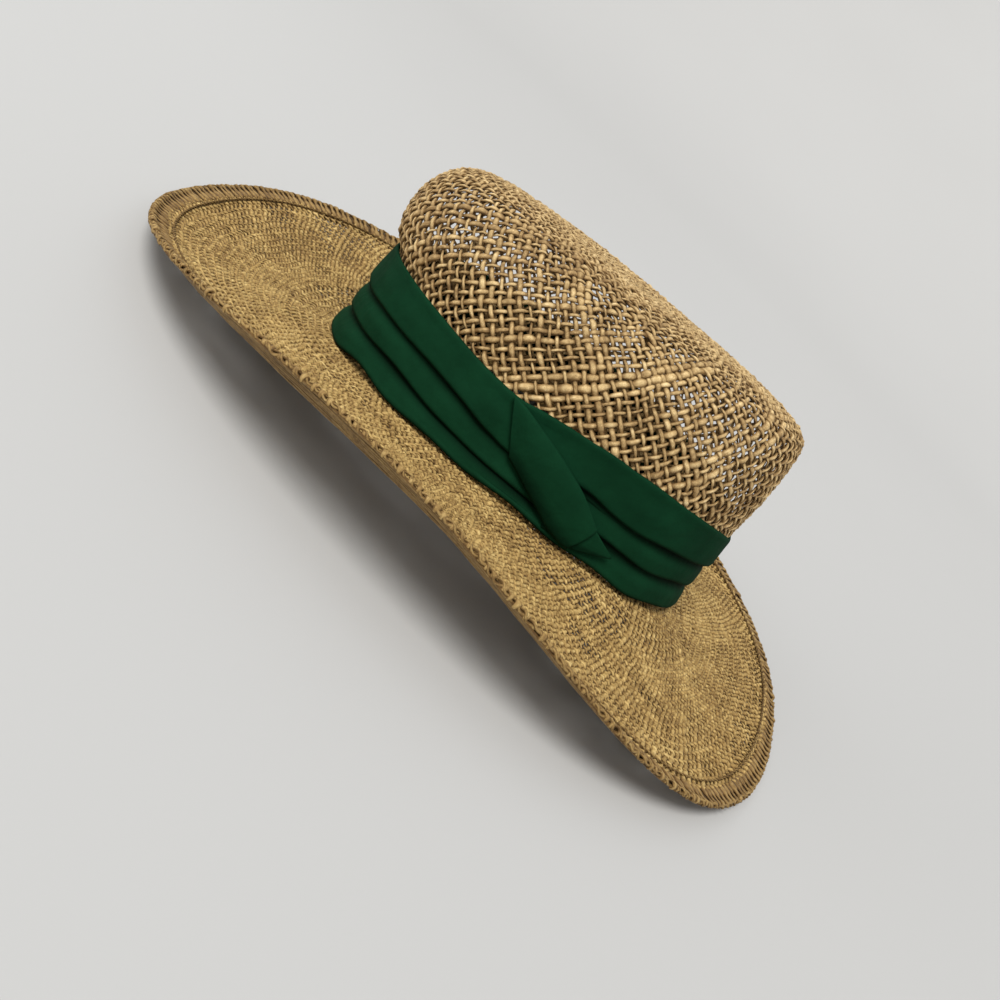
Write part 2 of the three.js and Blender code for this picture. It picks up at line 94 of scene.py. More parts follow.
# Brim edge: plan, and height as waves of the angle from the front.
BRIM_HALF_LENGTH = 175.2
BRIM_HALF_WIDTH = 158.8
BRIM_FORWARD = 3.1
BRIM_SQUARENESS = {"front": 2.19, "back": 2.25}
BRIM_WIDENS_TO_BACK = 0.034
EDGE_MEAN_HEIGHT = 2.8
EDGE_WAVES = table(
    "turns cosine sine",
    (1, 14.6, -2.7),
    (2, -12.4, 1.4),
    (3, -1.9, -4.8),
    (4, 1.9, -0.3),
    (5, -0.5, 0.0),
)
HEM_WIDTH = 11.5
HEM_LEAN_SHARE = 0.45
BRIM_SLOPES = table(
    "angle hem_lean root_slope",
    (0, 6, -0.02),
    (30, 12, -0.05),
    (60, 31, -0.09),
    (80, 41, -0.10),
    (100, 29, -0.12),
    (120, 17, -0.16),
    (150, -5, -0.25),
    (180, -16, -0.30),
    (210, -6, -0.25),
    (240, 12, -0.14),
    (270, 24, -0.10),
    (300, 24, -0.08),
    (330, 14, -0.04),
)

# Cloth band: heights of its top edge and of the two creases between its three folds.
BAND_LINES = table(
    "angle top upper_crease lower_crease",
    (0, 43.2, 25.2, 11.5),
    (20, 43.6, 25.9, 13.0),
    (40, 43.7, 27.9, 15.6),
    (60, 43.2, 28.9, 16.8),
    (75, 41.9, 27.4, 16.1),
    (84, 41.8, 25.3, 15.4),
    (92, 44.0, 24.6, 14.9),
    (102, 46.2, 27.4, 14.8),
    (110, 47.1, 30.0, 16.5),
    (118, 47.3, 29.2, 18.4),
    (127, 46.8, 28.1, 17.1),
    (140, 45, 27.1, 15.6),
    (153, 42.4, 26.2, 14.3),
    (180, 36.5, 22.5, 11.2),
    (207, 42.4, 26.2, 14.3),
    (240, 46, 28.6, 16.8),
    (270, 46, 29, 17.3),
    (300, 44.5, 29, 16.9),
    (320, 43.8, 27.9, 15.6),
    (340, 43.6, 25.9, 13.0),
)
BAND_FOOT_CLEARANCE = 1.1
TUCK_UNDER = 1.7
# Swell: how far each fold stands off the straw near its top, at mid-height and at its lip.
# Press: from which angle to which it gets thinner under the wrap, and where it swells again.
# Least: the share of its swell that is left there. Rounding: how much it sinks under the lip above.
FOLDS = {
    name: {"swell": swell, "press": press, "least": least, "lip_least": lip, "rounding": sunk, "seed": seed}
    for name, swell, press, least, lip, sunk, seed in (
        ("top", (1.5, 2.4, 2.9), (80, 90, 117, 132), 0.5, 0.5, 0.0, 31),
        ("middle", (1.6, 2.4, 2.7), (70, 85, 124, 138), 0.52, 0.6, 1.0, 32),
        ("bottom", (1.6, 3.4, 4.3), (68, 83, 124, 138), 0.52, 0.66, 1.0, 33),
    )
}
PRESSED_LIP = 1.9
# Where a fold turns in at its top, from its top edge, and where it rolls under, from its lip and
# foot: distances off the crown and heights.
TOP_TURN = ((0.55, -4.0), (0.45, -1.2), (0.7, -0.1))
LIP_ROLL = ((0.0, 1.8), (-0.15, 0.6), (-0.65, 0.15), (-1.1, 0.9), (-1.3, 3.0))
# How far down the fold's body is measured, and the shares of its swell that it has there: plain,
# and sunk under the lip above.
FOLD_DOWN = (0.08, 0.25, 0.55, 0.8)
FOLD_TOP_OFF = 0.55
FOLD_TOP_SWELL = (0.45, 0.1)
FOLD_HIGH_SWELL = (1.0, 0.55)
FOLD_MIDDLE_SWELL = (1.0, 0.94)
FOLD_LOW_TO_LIP = 0.75
FOLD_SWELL_DRIFT = 0.12
FOLD_EDGE_DRIFT = 1.2
FOLD_LEAST_OFF = 0.4
FOLD_SINKS = 0.05
# Depth below the lip of the fold above over which its painted shade fades out, in millimetres.
CREASE_DEPTH = 4.5
# Painted shade: how much light is painted on the cloth where it turns under, at a fold's lip and at the
# wrap's edge.
LIP_LIGHT = 0.35
WRAP_EDGE_LIGHT = 0.45

# Wrap: the top fold turned down over the others, from its start to its tapered end.
WRAP_EDGES = table(
    "share low_angle low_z high_angle high_z",
    (0, 92.2, 22.9, 84.2, 42.4),
    (0.15, 95.2, 21.0, 88.3, 41.5),
    (0.3, 98.3, 18.7, 93.0, 39.6),
    (0.45, 101.5, 16.3, 98.4, 37.2),
    (0.6, 104.8, 13.8, 104.0, 33.9),
    (0.75, 108.2, 11.2, 109.7, 30.0),
    (0.9, 112.0, 9.5, 115.0, 24.6),
    (1, 114.7, 9.0, 117.9, 21.3),
)
WRAP_STAND_OFF = {"start": 2.2, "end": 3.6}
WRAP_CROWN = {"start": 0.35, "full": 2.1, "end": 1.5, "risen_at": 0.35, "falls_at": 0.8}
WRAP_SECTION = table(
    "across rise",
    (0.16, 0.10),
    (0.03, 0.12),
    (0.00, 0.50),
    (0.06, 0.85),
    (0.20, 0.98),
    (0.40, 1.00),
    (0.60, 1.00),
    (0.80, 0.98),
    (0.94, 0.85),
    (1.00, 0.50),
    (0.97, 0.12),
    (0.84, 0.10),
)
WRAP_UNDERSIDE_OFF = 0.45
WRAP_LEAST_RISE = 0.35
TAB_CORNERS = ((115.6, 9.6), (126.3, 14.7), (118.4, 20.6))
TAB_STAND_OFF = 3.7
TAB_TUCKED_SHARE = 0.9
TAB_TUCKED_OFF = 3.0
TAB_HALF_CLOTH = 0.5
TAB_BULGE = 0.5
TAB_BLUNT_AT = 0.94

# Pose in which the brim rests on a surface by itself.
REST_PITCH = math.radians(3.35)
REST_ROLL = math.radians(-5.81)
REST_SHIFT = np.array((1.44, 2.61, 11.18))
HAT_TURN = Matrix.Rotation(REST_PITCH, 3, "X") @ Matrix.Rotation(REST_ROLL, 3, "Y")

# Camera, from the photograph: direction from the hat in its own frame, roll, distance, the
# point that it is set by and where that point shows in the 1000 pixel frame.
PHOTO_SIZE = 1000
PHOTO_AZIMUTH = math.radians(92.256)
PHOTO_ELEVATION = math.radians(12.605)
PHOTO_ROLL = math.radians(39.808)
PHOTO_FOCUS = 1047.2
PHOTO_DISTANCE = 460.0
AIM_POINT = np.array((0.0, 0.0, 30.0))
AIM_PIXEL = (550.288, 400.576)
SENSOR_WIDTH = 36.0
CAMERA_CLIP = (0.05, 60.0)


def smooth_step(low, high, value):
    """Rises smoothly from 0 at low to 1 at high."""
    t = np.clip((value - low) / (high - low), 0, 1)
    return t * t * (3 - 2 * t)


def mix(first, second, share):
    """Goes straight from first to second."""
    return first + (second - first) * share


def cubic(t, start, end, first, second):
    """Curve from start to end with these slopes there, for t from 0 to 1."""
    t2 = t * t
    t3 = t2 * t
    low = (2 * t3 - 3 * t2 + 1) * start + (t3 - 2 * t2 + t) * first
    return low + (3 * t2 - 2 * t3) * end + (t3 - t2) * second


def hermite(at, stations, values):
    """Cubic between the two middle stations, with slopes from their neighbours."""
    span = stations[2] - stations[1]
    first = (values[2] - values[0]) / (stations[2] - stations[0]) * span
    second = (values[3] - values[1]) / (stations[3] - stations[1]) * span
    return cubic((at - stations[1]) / span, values[1], values[2], first, second)


def running(steps):
    """Distances from the start of a line, from the lengths of its steps."""
    return np.concatenate([np.zeros_like(steps[..., :1]), np.cumsum(steps, axis=-1)], axis=-1)


def unit(vectors):
    """Vectors of length 1 in the same directions."""
    return vectors / np.maximum(np.linalg.norm(vectors, axis=-1, keepdims=True), 1e-15)


def around(rows, column, degrees):
    """Smooth closed curve through a table's rows, read at angles in degrees."""
    angle, value = rows["angle"], rows[column]
    count = len(angle)
    turn = np.mod(degrees, 360)
    index = np.searchsorted(angle, turn, side="right") - 1
    places = [index + k for k in (-1, 0, 1, 2)]
    stations = [angle[k % count] + 360 * (k // count) for k in places]
    return hermite(turn, stations, [value[k % count] for k in places])


def along(rows, column, share):
    """Smooth open curve through a table's rows, read at shares from 0 to 1."""
    last = len(rows["share"]) - 1
    index = np.clip(np.searchsorted(rows["share"], share, side="right") - 1, 0, last - 1)
    places = [np.clip(index + k, 0, last) for k in (-1, 0, 1, 2)]
    return hermite(share, [rows["share"][k] for k in places], [rows[column][k] for k in places])


def ring_point(angle, out):
    """Plan position at an angle from the front, a distance outwards from the head ring."""
    nx = np.sin(angle) / RING_HALF_WIDTH
    ny = -np.cos(angle) / RING_HALF_LENGTH
    size = np.hypot(nx, ny)
    x = RING_HALF_WIDTH * np.sin(angle) + out * nx / size
    y = RING_BACKWARD - RING_HALF_LENGTH * np.cos(angle) + out * ny / size
    return x, y


def junction_height(angle):
    """Height of the brim's upper face where it meets the crown."""
    return JUNCTION_BASE + JUNCTION_ARCH * np.abs(np.sin(angle)) ** JUNCTION_ARCH_POWER


def even_angles(count):
    """Angles that cut the head ring into equal lengths, from the front towards +X."""
    fine = np.linspace(0, TURN, 2881)
    x, y = ring_point(fine, 0)
    length = running(np.hypot(np.diff(x), np.diff(y)))
    return np.interp(np.arange(count) / count * length[-1], length, fine)


def tip_height(x, y):
    """Height of the flat top's plane."""
    return TIP_HEIGHT + TIP_RISE_TO_BACK * y + TIP_RISE_TO_LEFT * x


def crown_profile(angle):
    """The crown's outer profile at each angle: offsets from the head ring, and heights."""
    front = np.maximum(np.cos(angle), 0) ** END_SHARE_POWER
    back = np.maximum(-np.cos(angle), 0) ** END_SHARE_POWER
    side = 1 - front - back

    def blend(at_front, at_side, at_back):
        return front * at_front + side * at_side + back * at_back

    rings = CROWN_RINGS
    out = [blend(*row) for row in zip(rings["front"], rings["side"], rings["back"])]
    height = [blend(*row) for row in zip(rings["front_z"], rings["side_z"], rings["back_z"])]
    inset = blend(TIP_INSET["front"], TIP_INSET["side"], TIP_INSET["back"])
    out = [np.zeros_like(angle), *out, inset]
    height = [junction_height(angle) + PIECE_GAP, *height, tip_height(*ring_point(angle, inset))]
    return np.stack(out, -1), np.stack(height, -1)


def crown_out(angle, height):
    """How far the crown's outer face stands from the head ring at each angle and height."""
    out, heights = crown_profile(angle)
    found = out[..., 0]
    for k in range(1, out.shape[-1]):
        low, high = heights[..., k - 1], heights[..., k]
        t = np.clip((height - low) / (high - low), 0, 1)
        found = np.where(height > low, mix(out[..., k - 1], out[..., k], t), found)
    return found


def to_row(points):
    """Points of the hat's own frame, in millimetres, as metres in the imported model's frame."""
    return (points @ np.array(HAT_TURN).T + REST_SHIFT) * MM


def resampled(points, count):
    """Smooth curves through rows of points, cut into equal steps along each curve."""
    at = running(np.linalg.norm(np.diff(points, axis=1), axis=2))
    last = points.shape[1] - 1
    fine_points = []
    for k in range(last):
        places = [min(max(k + step, 0), last) for step in (-1, 0, 1, 2)]
        for t in np.linspace(0, 1, 12, endpoint=k == last - 1):
            where = mix(at[:, k], at[:, k + 1], t)[:, None]
            stations = [at[:, place][:, None] for place in places]
            fine_points.append(hermite(where, stations, [points[:, place] for place in places]))
    fine = np.stack(fine_points, axis=1)
    length = running(np.linalg.norm(np.diff(fine, axis=1), axis=2))
    share = np.linspace(0, 1, count)
    result = np.empty((len(points), count, 3))
    for row in range(len(points)):
        for axis in range(3):
            result[row, :, axis] = np.interp(share * length[row, -1], length[row], fine[row, :, axis])
    return result


class Skin:
    """A smooth surface as a grid, closed round the hat, that other things are laid on."""

    def __init__(self, points, face):
        self.points = to_row(points)
        up = np.gradient(self.points, axis=1)
        looped = np.concatenate([self.points[-1:], self.points, self.points[:1]])
        self.normals = unit(np.cross(looped[2:] - looped[:-2], up) * face)
        self.run = running(np.linalg.norm(np.diff(self.points, axis=1), axis=2).mean(0))
        self.ring = np.linalg.norm(looped[1:-1] - looped[:-2], axis=2).sum(0)
        self.shares = np.linspace(0, 1, self.points.shape[1])

    def at(self, turn, share, lift=0.0):
        """Points at turns round the hat and shares up the skin, lifted off it, and normals."""
        rings, rows = self.points.shape[:2]
        i = np.mod(turn, 1) * rings
        j = np.clip(share, 0, 1) * (rows - 1)
        i0 = np.floor(i).astype(int)
        j0 = np.minimum(np.floor(j).astype(int), rows - 2)
        u, v = (i - i0)[..., None], (j - j0)[..., None]
        i0 = i0 % rings
        i1 = (i0 + 1) % rings

        def blend(grid):
            low = mix(grid[i0, j0], grid[i1, j0], u)
            high = mix(grid[i0, j0 + 1], grid[i1, j0 + 1], u)
            return mix(low, high, v)

        normals = unit(blend(self.normals))
        return blend(self.points) + normals * np.asarray(lift)[..., None], normals


SKIN_RINGS = 720
SKIN_ROWS = 260


def crown_skin():
    """The crown's outer face, from the brim over the shoulder to the middle of the tip."""
    angle = even_angles(SKIN_RINGS)
    out, height = crown_profile(angle)
    x, y = ring_point(angle[:, None], out)
    wall = np.stack([x, y, height], -1)
    middle = np.array((0, RING_BACKWARD, tip_height(0, RING_BACKWARD)))
    tip = [mix(wall[:, -1], middle, share)[:, None] for share in (0.1, 0.3, 0.6, 0.99)]
    return Skin(resampled(np.concatenate([wall, *tip], axis=1), SKIN_ROWS), face=1)


def edge_point(angle):
    """Middle of the rim at each angle."""
    cosine, sine = np.cos(angle), np.sin(angle)
    back_share = (1 - np.sin(math.pi / 2 * cosine)) / 2
    power = mix(BRIM_SQUARENESS["front"], BRIM_SQUARENESS["back"], back_share)
    reach = (np.abs(cosine) ** power + np.abs(sine) ** power) ** (-1 / power)
    z = np.full_like(angle, EDGE_MEAN_HEIGHT)
    for turns, of_cosine, of_sine in zip(*EDGE_WAVES.values()):
        z += of_cosine * np.cos(turns * angle) + of_sine * np.sin(turns * angle)
    x = BRIM_HALF_WIDTH * (1 - BRIM_WIDENS_TO_BACK * cosine) * sine * reach
    return np.stack([x, -BRIM_FORWARD - BRIM_HALF_LENGTH * cosine * reach, z], -1)


def hem_up(edge, run):
    """Direction straight up off the hem's upper face."""
    looped = np.concatenate([edge[-1:], edge, edge[:1]])
    return unit(np.cross(looped[2:] - looped[:-2], run) * -1)


def brim_lines(angle):
    """Where the brim's section starts and folds at each angle, and its slopes there."""
    x, y = ring_point(angle, -STRAW_WALL)
    root = np.stack([x, y, junction_height(angle) - STRAW_WALL / 2], -1)
    edge = edge_point(angle)
    outwards = unit((edge - root) * (1, 1, 0))
    lean = np.radians(around(BRIM_SLOPES, "hem_lean", np.degrees(angle)))
    root_slope = around(BRIM_SLOPES, "root_slope", np.degrees(angle))
    run = outwards * np.cos(lean)[:, None] + np.array((0, 0, 1)) * np.sin(lean)[:, None]
    return root, edge, run, lean, root_slope, edge - run * HEM_WIDTH


# The brim's weave runs on a little way up inside the crown, behind the band.
ROOT_INSET = 1.2
ROOT_RISE = (5.0, 2.0)
# It also runs on over the inner half of the hem: steps outwards from the fold, in millimetres.
HEM_OVERLAP = (1.5, 3.0, 4.6)
HEM_HALF_THICKNESS = 0.8


def brim_skin():
    """Middle of the brim's straw sheet, from inside the crown to over the hem, facing up."""
    root, edge, run, lean, root_slope, fold = brim_lines(even_angles(SKIN_RINGS))
    length = np.hypot(*(fold - root)[:, :2].T)[:, None]
    s = np.linspace(0, 1, SKIN_ROWS)[None]
    rise_at_fold = np.tan(lean * HEM_LEAN_SHARE)[:, None] * length
    z = cubic(s, root[:, 2:], fold[:, 2:], root_slope[:, None] * length, rise_at_fold)
    plan = mix(root[:, None, :2], fold[:, None, :2], s[..., None])
    sheet = np.concatenate([plan, z[..., None]], axis=2)
    inside = np.stack(ring_point(even_angles(SKIN_RINGS), -STRAW_WALL - ROOT_INSET), -1)
    up_wall = [np.concatenate([inside, root[:, 2:] + lift], axis=1) for lift in ROOT_RISE]
    rows = np.linspace(0, SKIN_ROWS - 1, 27).astype(int)[:-1]
    over_hem = [fold + run * out + hem_up(edge, run) * HEM_HALF_THICKNESS for out in HEM_OVERLAP]
    stations = [np.stack(up_wall, axis=1), sheet[:, rows], np.stack(over_hem, axis=1)]
    return Skin(resampled(np.concatenate(stations, axis=1), SKIN_ROWS), face=-1)


def hem_skin(half_thickness, reach):
    """A line over the hem: out along its top, round the rim and back along its underside."""
    _, edge, run, _, _, fold = brim_lines(even_angles(SKIN_RINGS))
    up = hem_up(edge, run)
    turn_at = reach - half_thickness
    bend = np.linspace(math.pi / 2, -math.pi / 2, 9)
    section = [(0.0, half_thickness), (turn_at / 2, half_thickness)]
    section += [(turn_at + half_thickness * math.cos(a), half_thickness * math.sin(a)) for a in bend]
    section += [(turn_at / 2, -half_thickness), (0.0, -half_thickness)]
    lines = [fold + run * out + up * lift for out, lift in section]
    return Skin(resampled(np.stack(lines, axis=1), SKIN_ROWS), face=-1)


class Wander:
    """Smooth seeded drift over a skin, so that woven things aren't perfectly regular."""

    def __init__(self, seed, waves=30, finest_round=34, finest_up=7):
        draw = np.random.default_rng(seed)
        self.turns = draw.integers(1, finest_round, waves)
        self.ups = draw.uniform(-finest_up, finest_up, waves)
        self.phases = draw.uniform(0, TURN, waves)

    def at(self, turn, share):
        """Drift with a root mean square near 1."""
        wave = np.zeros(np.broadcast(turn, share).shape)
        for turns, ups, phase in zip(self.turns, self.ups, self.phases):
            wave += np.cos(TURN * (turns * turn + ups * share) + phase)
        return wave * math.sqrt(2 / len(self.turns))


def guide_line(points, normals, scale, tint, rise, closed=False):
    """A guide line and what it carries: the strand's thickness, tone and place over or under, which also
    sets its painted shade.
    """
    carried = {"strand_scale": scale, "strand_tint": np.clip(tint, 0, 1), "weave_rise": rise}
    return {"points": points, "normals": normals, "carried": carried, "closed": closed}


def plan_weave(skin, count, slope, changes, smallest_ring):
    """Levels of crossings up a skin, and the zones where strands are dropped or added.

    Each level lies half a mesh above the last. A change is (every, become, limit): every so
    many strands become so many once the spacing round the ring passes the limit.
    """
    zones = [{"level": 0, "count": count, "phases": (0.0, 0.0)}]
    shares, twists = [0.0], [0.0]
    at = 0.0
    changes = list(changes)
    while True:
        zone = zones[-1]
        ring = np.interp(at, skin.run, skin.ring)
        at += ring / (2 * zone["count"]) * slope
        if at > skin.run[-1] or ring < smallest_ring:
            break
        shares.append(float(np.interp(at, skin.run, skin.shares)))
        twists.append(twists[-1] + 0.5 / zone["count"])
        if not changes:
            continue
        every, become, limit = changes[0]
        spacing = ring / zone["count"]
        passed = spacing < limit if become < every else spacing > limit
        following = zone["count"] * become // every
        crossing = 2 * twists[-1] * following
        if passed and abs(crossing - round(crossing)) < 1e-6:
            grow = every / become
            middle = (min(every, become) - 1) / 2
            phase = (zone["phases"][0] - middle * (grow - 1)) / grow
            zones.append({
                "level": len(shares) - 1,
                "count": following,
                "phases": (phase, phase),
                "change": (every, become),
            })
            changes.pop(0)
    return {"zones": zones, "shares": np.array(shares), "twists": np.array(twists)}


def follow_strands(zones):
    """Each strand as the list of the zones that it runs through and its place in each."""
    running = {index: [(0, index)] for index in range(zones[0]["count"])}
    ended = []
    for number, zone in enumerate(zones[1:], 1):
        every, become = zone["change"]
        following = {}
        for index, strand in running.items():
            group, place = divmod(index, every)
            if place < become:
                following[group * become + place] = [*strand, (number, group * become + place)]
            else:
                ended.append(strand)
        for index in range(zone["count"]):
            following.setdefault(index, [(number, index)])
        running = following
    return [*ended, *running.values()]


# How far a strand that starts midway runs on below its first crossing, in levels, and how often
# a strand's own drift swings to and fro in a level. Then what shares of a strand's rise, width
# and tone wander along it.
STRAND_TAIL = 0.25
OWN_DRIFT_TURNS = (0.05, 0.12)
RISE_JITTER = 0.12
WIDTH_DRIFT = 0.08
TONE_DRIFT = 0.14


def woven_family(skin, plan, family, look, seed):
    """Guide lines for one of the two families of strands, which lean opposite ways."""
    zones = plan["zones"]
    lean = 1 if family == 0 else -1
    draw = np.random.default_rng(seed + family)
    drift_round, drift_up = Wander(seed + 10), Wander(seed + 11)
    width_drift = Wander(seed + 12 + family)
    tint_drift = Wander(seed + 14 + family, finest_up=14)
    last_level = len(plan["shares"]) - 1
    levels = np.arange(last_level + 1)
    under = 1 - family
    lines = []
    for strand in follow_strands(zones):
        start = zones[strand[0][0]]["level"]
        if strand[0][0] > 0:
            start += (start + under) % 2
        after = strand[-1][0] + 1
        end = zones[after]["level"] if after < len(zones) else last_level
        if after < len(zones):
            end -= (end + under) % 2
        steps = (end - start) * look["steps"] + 1
        if steps < 4:
            continue
        level = np.linspace(start, end, steps)
        if strand[0][0] > 0:
            level[0] -= STRAND_TAIL
        place = np.zeros(steps)
        for number, index in strand:
            zone = zones[number]
            spot = (index + zone["phases"][family]) / zone["count"]
            entered = zone["level"]
            settle = 1.0 if number == strand[0][0] else smooth_step(entered, entered + 2, level)
            place = mix(place, spot, settle)
        share = np.interp(level, levels, plan["shares"])
        ring = np.interp(share, skin.shares, skin.ring)
        run = skin.run[-1]
        own_phase, own_turns = draw.uniform(0, TURN), draw.uniform(*OWN_DRIFT_TURNS)
        own = look["own_drift"] * np.sin(own_phase + level * TURN * own_turns)
        turn = place + lean * np.interp(level, levels, plan["twists"])
        drift = look["drift"] * drift_round.at(turn, share) + own
        # Over or under: this lifts the strand and also paints shade on it where it goes under.
        rise = lean * np.cos(math.pi * level)
        lift = look["middle"] + rise * look["rise"]
        lift = lift + draw.normal(0, look["rise"] * RISE_JITTER, steps)
        shifted = share + look["drift"] * drift_up.at(turn, share) / run
        points, normals = skin.at(turn + drift / ring, shifted, lift)
        thick = math.exp(draw.normal(0, look["uneven"]))
        if draw.random() < look["thick_share"]:
            thick *= look["thick_by"]
        scale = thick * (1 + WIDTH_DRIFT * width_drift.at(turn, share) + look["lens"] * rise)
        zone_at = np.searchsorted([z["level"] for z in zones], level, side="right") - 1
        pitch = ring / np.array([z["count"] for z in zones])[zone_at]
        scale *= np.minimum(1, pitch / look["crowded"])
        spots = np.interp(level, levels, draw.normal(0, look["spots"], last_level + 1))
        scale *= 1 + np.interp(level, levels, draw.normal(0, look["lumps"], last_level + 1))
        tint = draw.normal(0.5, look["tones"]) + spots + TONE_DRIFT * tint_drift.at(turn, share)
        lines.append(guide_line(points, normals, scale, tint, rise))
    return lines


def add_object(name, data):
    """An object in the scene, at the origin."""
    thing = bpy.data.objects.new(name, data)
    bpy.context.scene.collection.objects.link(thing)
    return thing


def baked_mesh(thing, name):
    """The object's mesh as its modifiers make it."""
    mesh = bpy.data.meshes.new_from_object(thing.evaluated_get(bpy.context.evaluated_depsgraph_get()))
    mesh.name = name
    return mesh


def store(mesh, name, values):
    """Keeps one number or one vector for each point of a mesh."""
    kind, field = ("FLOAT_VECTOR", "vector") if np.ndim(values) == 2 else ("FLOAT", "value")
    attribute = mesh.attributes.new(name, kind, "POINT")
    attribute.data.foreach_set(field, np.asarray(values, float).ravel())


def guide_object(name, lines):
    """Guide lines as one mesh of edges, with what each strand needs stored at its points."""
    offsets = np.cumsum([0, *[len(line["points"]) for line in lines]])
    edges = []
    for line, offset in zip(lines, offsets):
        count = len(line["points"])
        steps = count if line["closed"] else count - 1
        edges.extend((offset + k, offset + (k + 1) % count) for k in range(steps))
    mesh = bpy.data.meshes.new(name)
    mesh.from_pydata(np.concatenate([line["points"] for line in lines]).tolist(), edges, [])
    store(mesh, "sheet_normal", np.concatenate([line["normals"] for line in lines]))
    for kept in ("strand_scale", "strand_tint", "weave_rise"):
        rows = [np.broadcast_to(line["carried"][kept], len(line["points"])) for line in lines]
        store(mesh, kept, np.concatenate(rows))
    return add_object(name, mesh)


def put(tree, socket, value):
    """Links another node's socket to this one, or sets a value."""
    if isinstance(value, bpy.types.NodeSocket):
        tree.links.new(value, socket)
    else:
        socket.default_value = value


def add_node(tree, kind, inputs=(), **settings):
    """Adds a node with its settings. Each input is a socket to link or a value to set."""
    node = tree.nodes.new(kind)
    for name, value in settings.items():
        setattr(node, name, value)
    for name, value in dict(inputs).items():
        put(tree, node.inputs[name], value)
    return node


def strand_tree():
    """Geometry Nodes tree that turns guide lines into oval strands lying flat on their sheet."""
    found = bpy.data.node_groups.get("Straw strands")
    if found:
        return found
    tree = bpy.data.node_groups.new("Straw strands", "GeometryNodeTree")
    tree.interface.new_socket("Strands", in_out="OUTPUT", socket_type="NodeSocketGeometry")
    for name, kind in (
        ("Guide lines", "NodeSocketGeometry"),
        ("Strand width", "NodeSocketFloat"),
        ("Strand thickness", "NodeSocketFloat"),
        ("Sides", "NodeSocketInt"),
        ("Straw", "NodeSocketMaterial"),
    ):
        tree.interface.new_socket(name, in_out="INPUT", socket_type=kind)
    given = add_node(tree, "NodeGroupInput").outputs

    def step(kind, output, inputs=(), **settings):
        return add_node(tree, "GeometryNode" + kind, inputs, **settings).outputs[output]

    def stored(name, kind):
        return step("InputNamedAttribute", "Attribute", {"Name": name}, data_type=kind)

    def keep(name, kind, geometry, value):
        inputs = {"Name": name, "Geometry": geometry, "Value": value}
        return step("StoreNamedAttribute", "Geometry", inputs, data_type=kind, domain="POINT")

    curves = step("MeshToCurve", "Curve", {"Mesh": given["Guide lines"]})
    laid = {"Curve": curves, "Normal": stored("sheet_normal", "FLOAT_VECTOR")}
    curves = step("SetCurveNormal", "Curve", laid, mode="FREE")
    curves = keep("fibre_along", "FLOAT", curves, step("SplineParameter", "Length"))
    round_profile = {"Radius": 0.5, "Resolution": given["Sides"]}
    profile = step("CurvePrimitiveCircle", "Curve", round_profile, mode="RADIUS")
    profile = keep("fibre_across", "FLOAT_VECTOR", profile, step("InputPosition", "Position"))
    oval = {"X": given["Strand thickness"], "Y": given["Strand width"]}
    size = add_node(tree, "ShaderNodeCombineXYZ", oval).outputs["Vector"]
    profile = step("Transform", "Geometry", {"Geometry": profile, "Scale": size})
    swept = {"Curve": curves, "Profile Curve": profile, "Fill Caps": True}
    swept["Scale"] = stored("strand_scale", "FLOAT")
    strands = step("CurveToMesh", "Mesh", swept)
    strands = step("SetShadeSmooth", "Geometry", {"Geometry": strands})
    strands = step("RealizeInstances", "Geometry", {"Geometry": strands})
    strands = step("SetMaterial", "Geometry", {"Geometry": strands, "Material": given["Straw"]})
    add_node(tree, "NodeGroupOutput", {"Strands": strands})
    return tree


def strands_from(name, lines, width, thickness, sides, material):
    """Strands along guide lines, as one plain mesh object."""
    guides = guide_object(name + "_guides", lines)
    tree = strand_tree()
    modifier = guides.modifiers.new("strands", "NODES")
    modifier.node_group = tree
    values = {"Strand width": width, "Strand thickness": thickness, "Sides": sides, "Straw": material}
    for item in tree.interface.items_tree:
        if item.in_out == "INPUT" and item.name in values:
            modifier[item.identifier] = values[item.name]
    mesh = baked_mesh(guides, name)
    guides.modifiers.remove(modifier)
    bpy.data.objects.remove(guides)
    return plain_object(name, mesh, material)


def plain_object(name, mesh, material):
    """A mesh as an object at the origin, with its one material."""
    mesh.materials.clear()
    mesh.materials.append(material)
    return add_object(name, mesh)


def hand_over(piece, node):
    """The piece moves with the hat and replaces a solid."""
    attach(piece, "root")
    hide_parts(node)


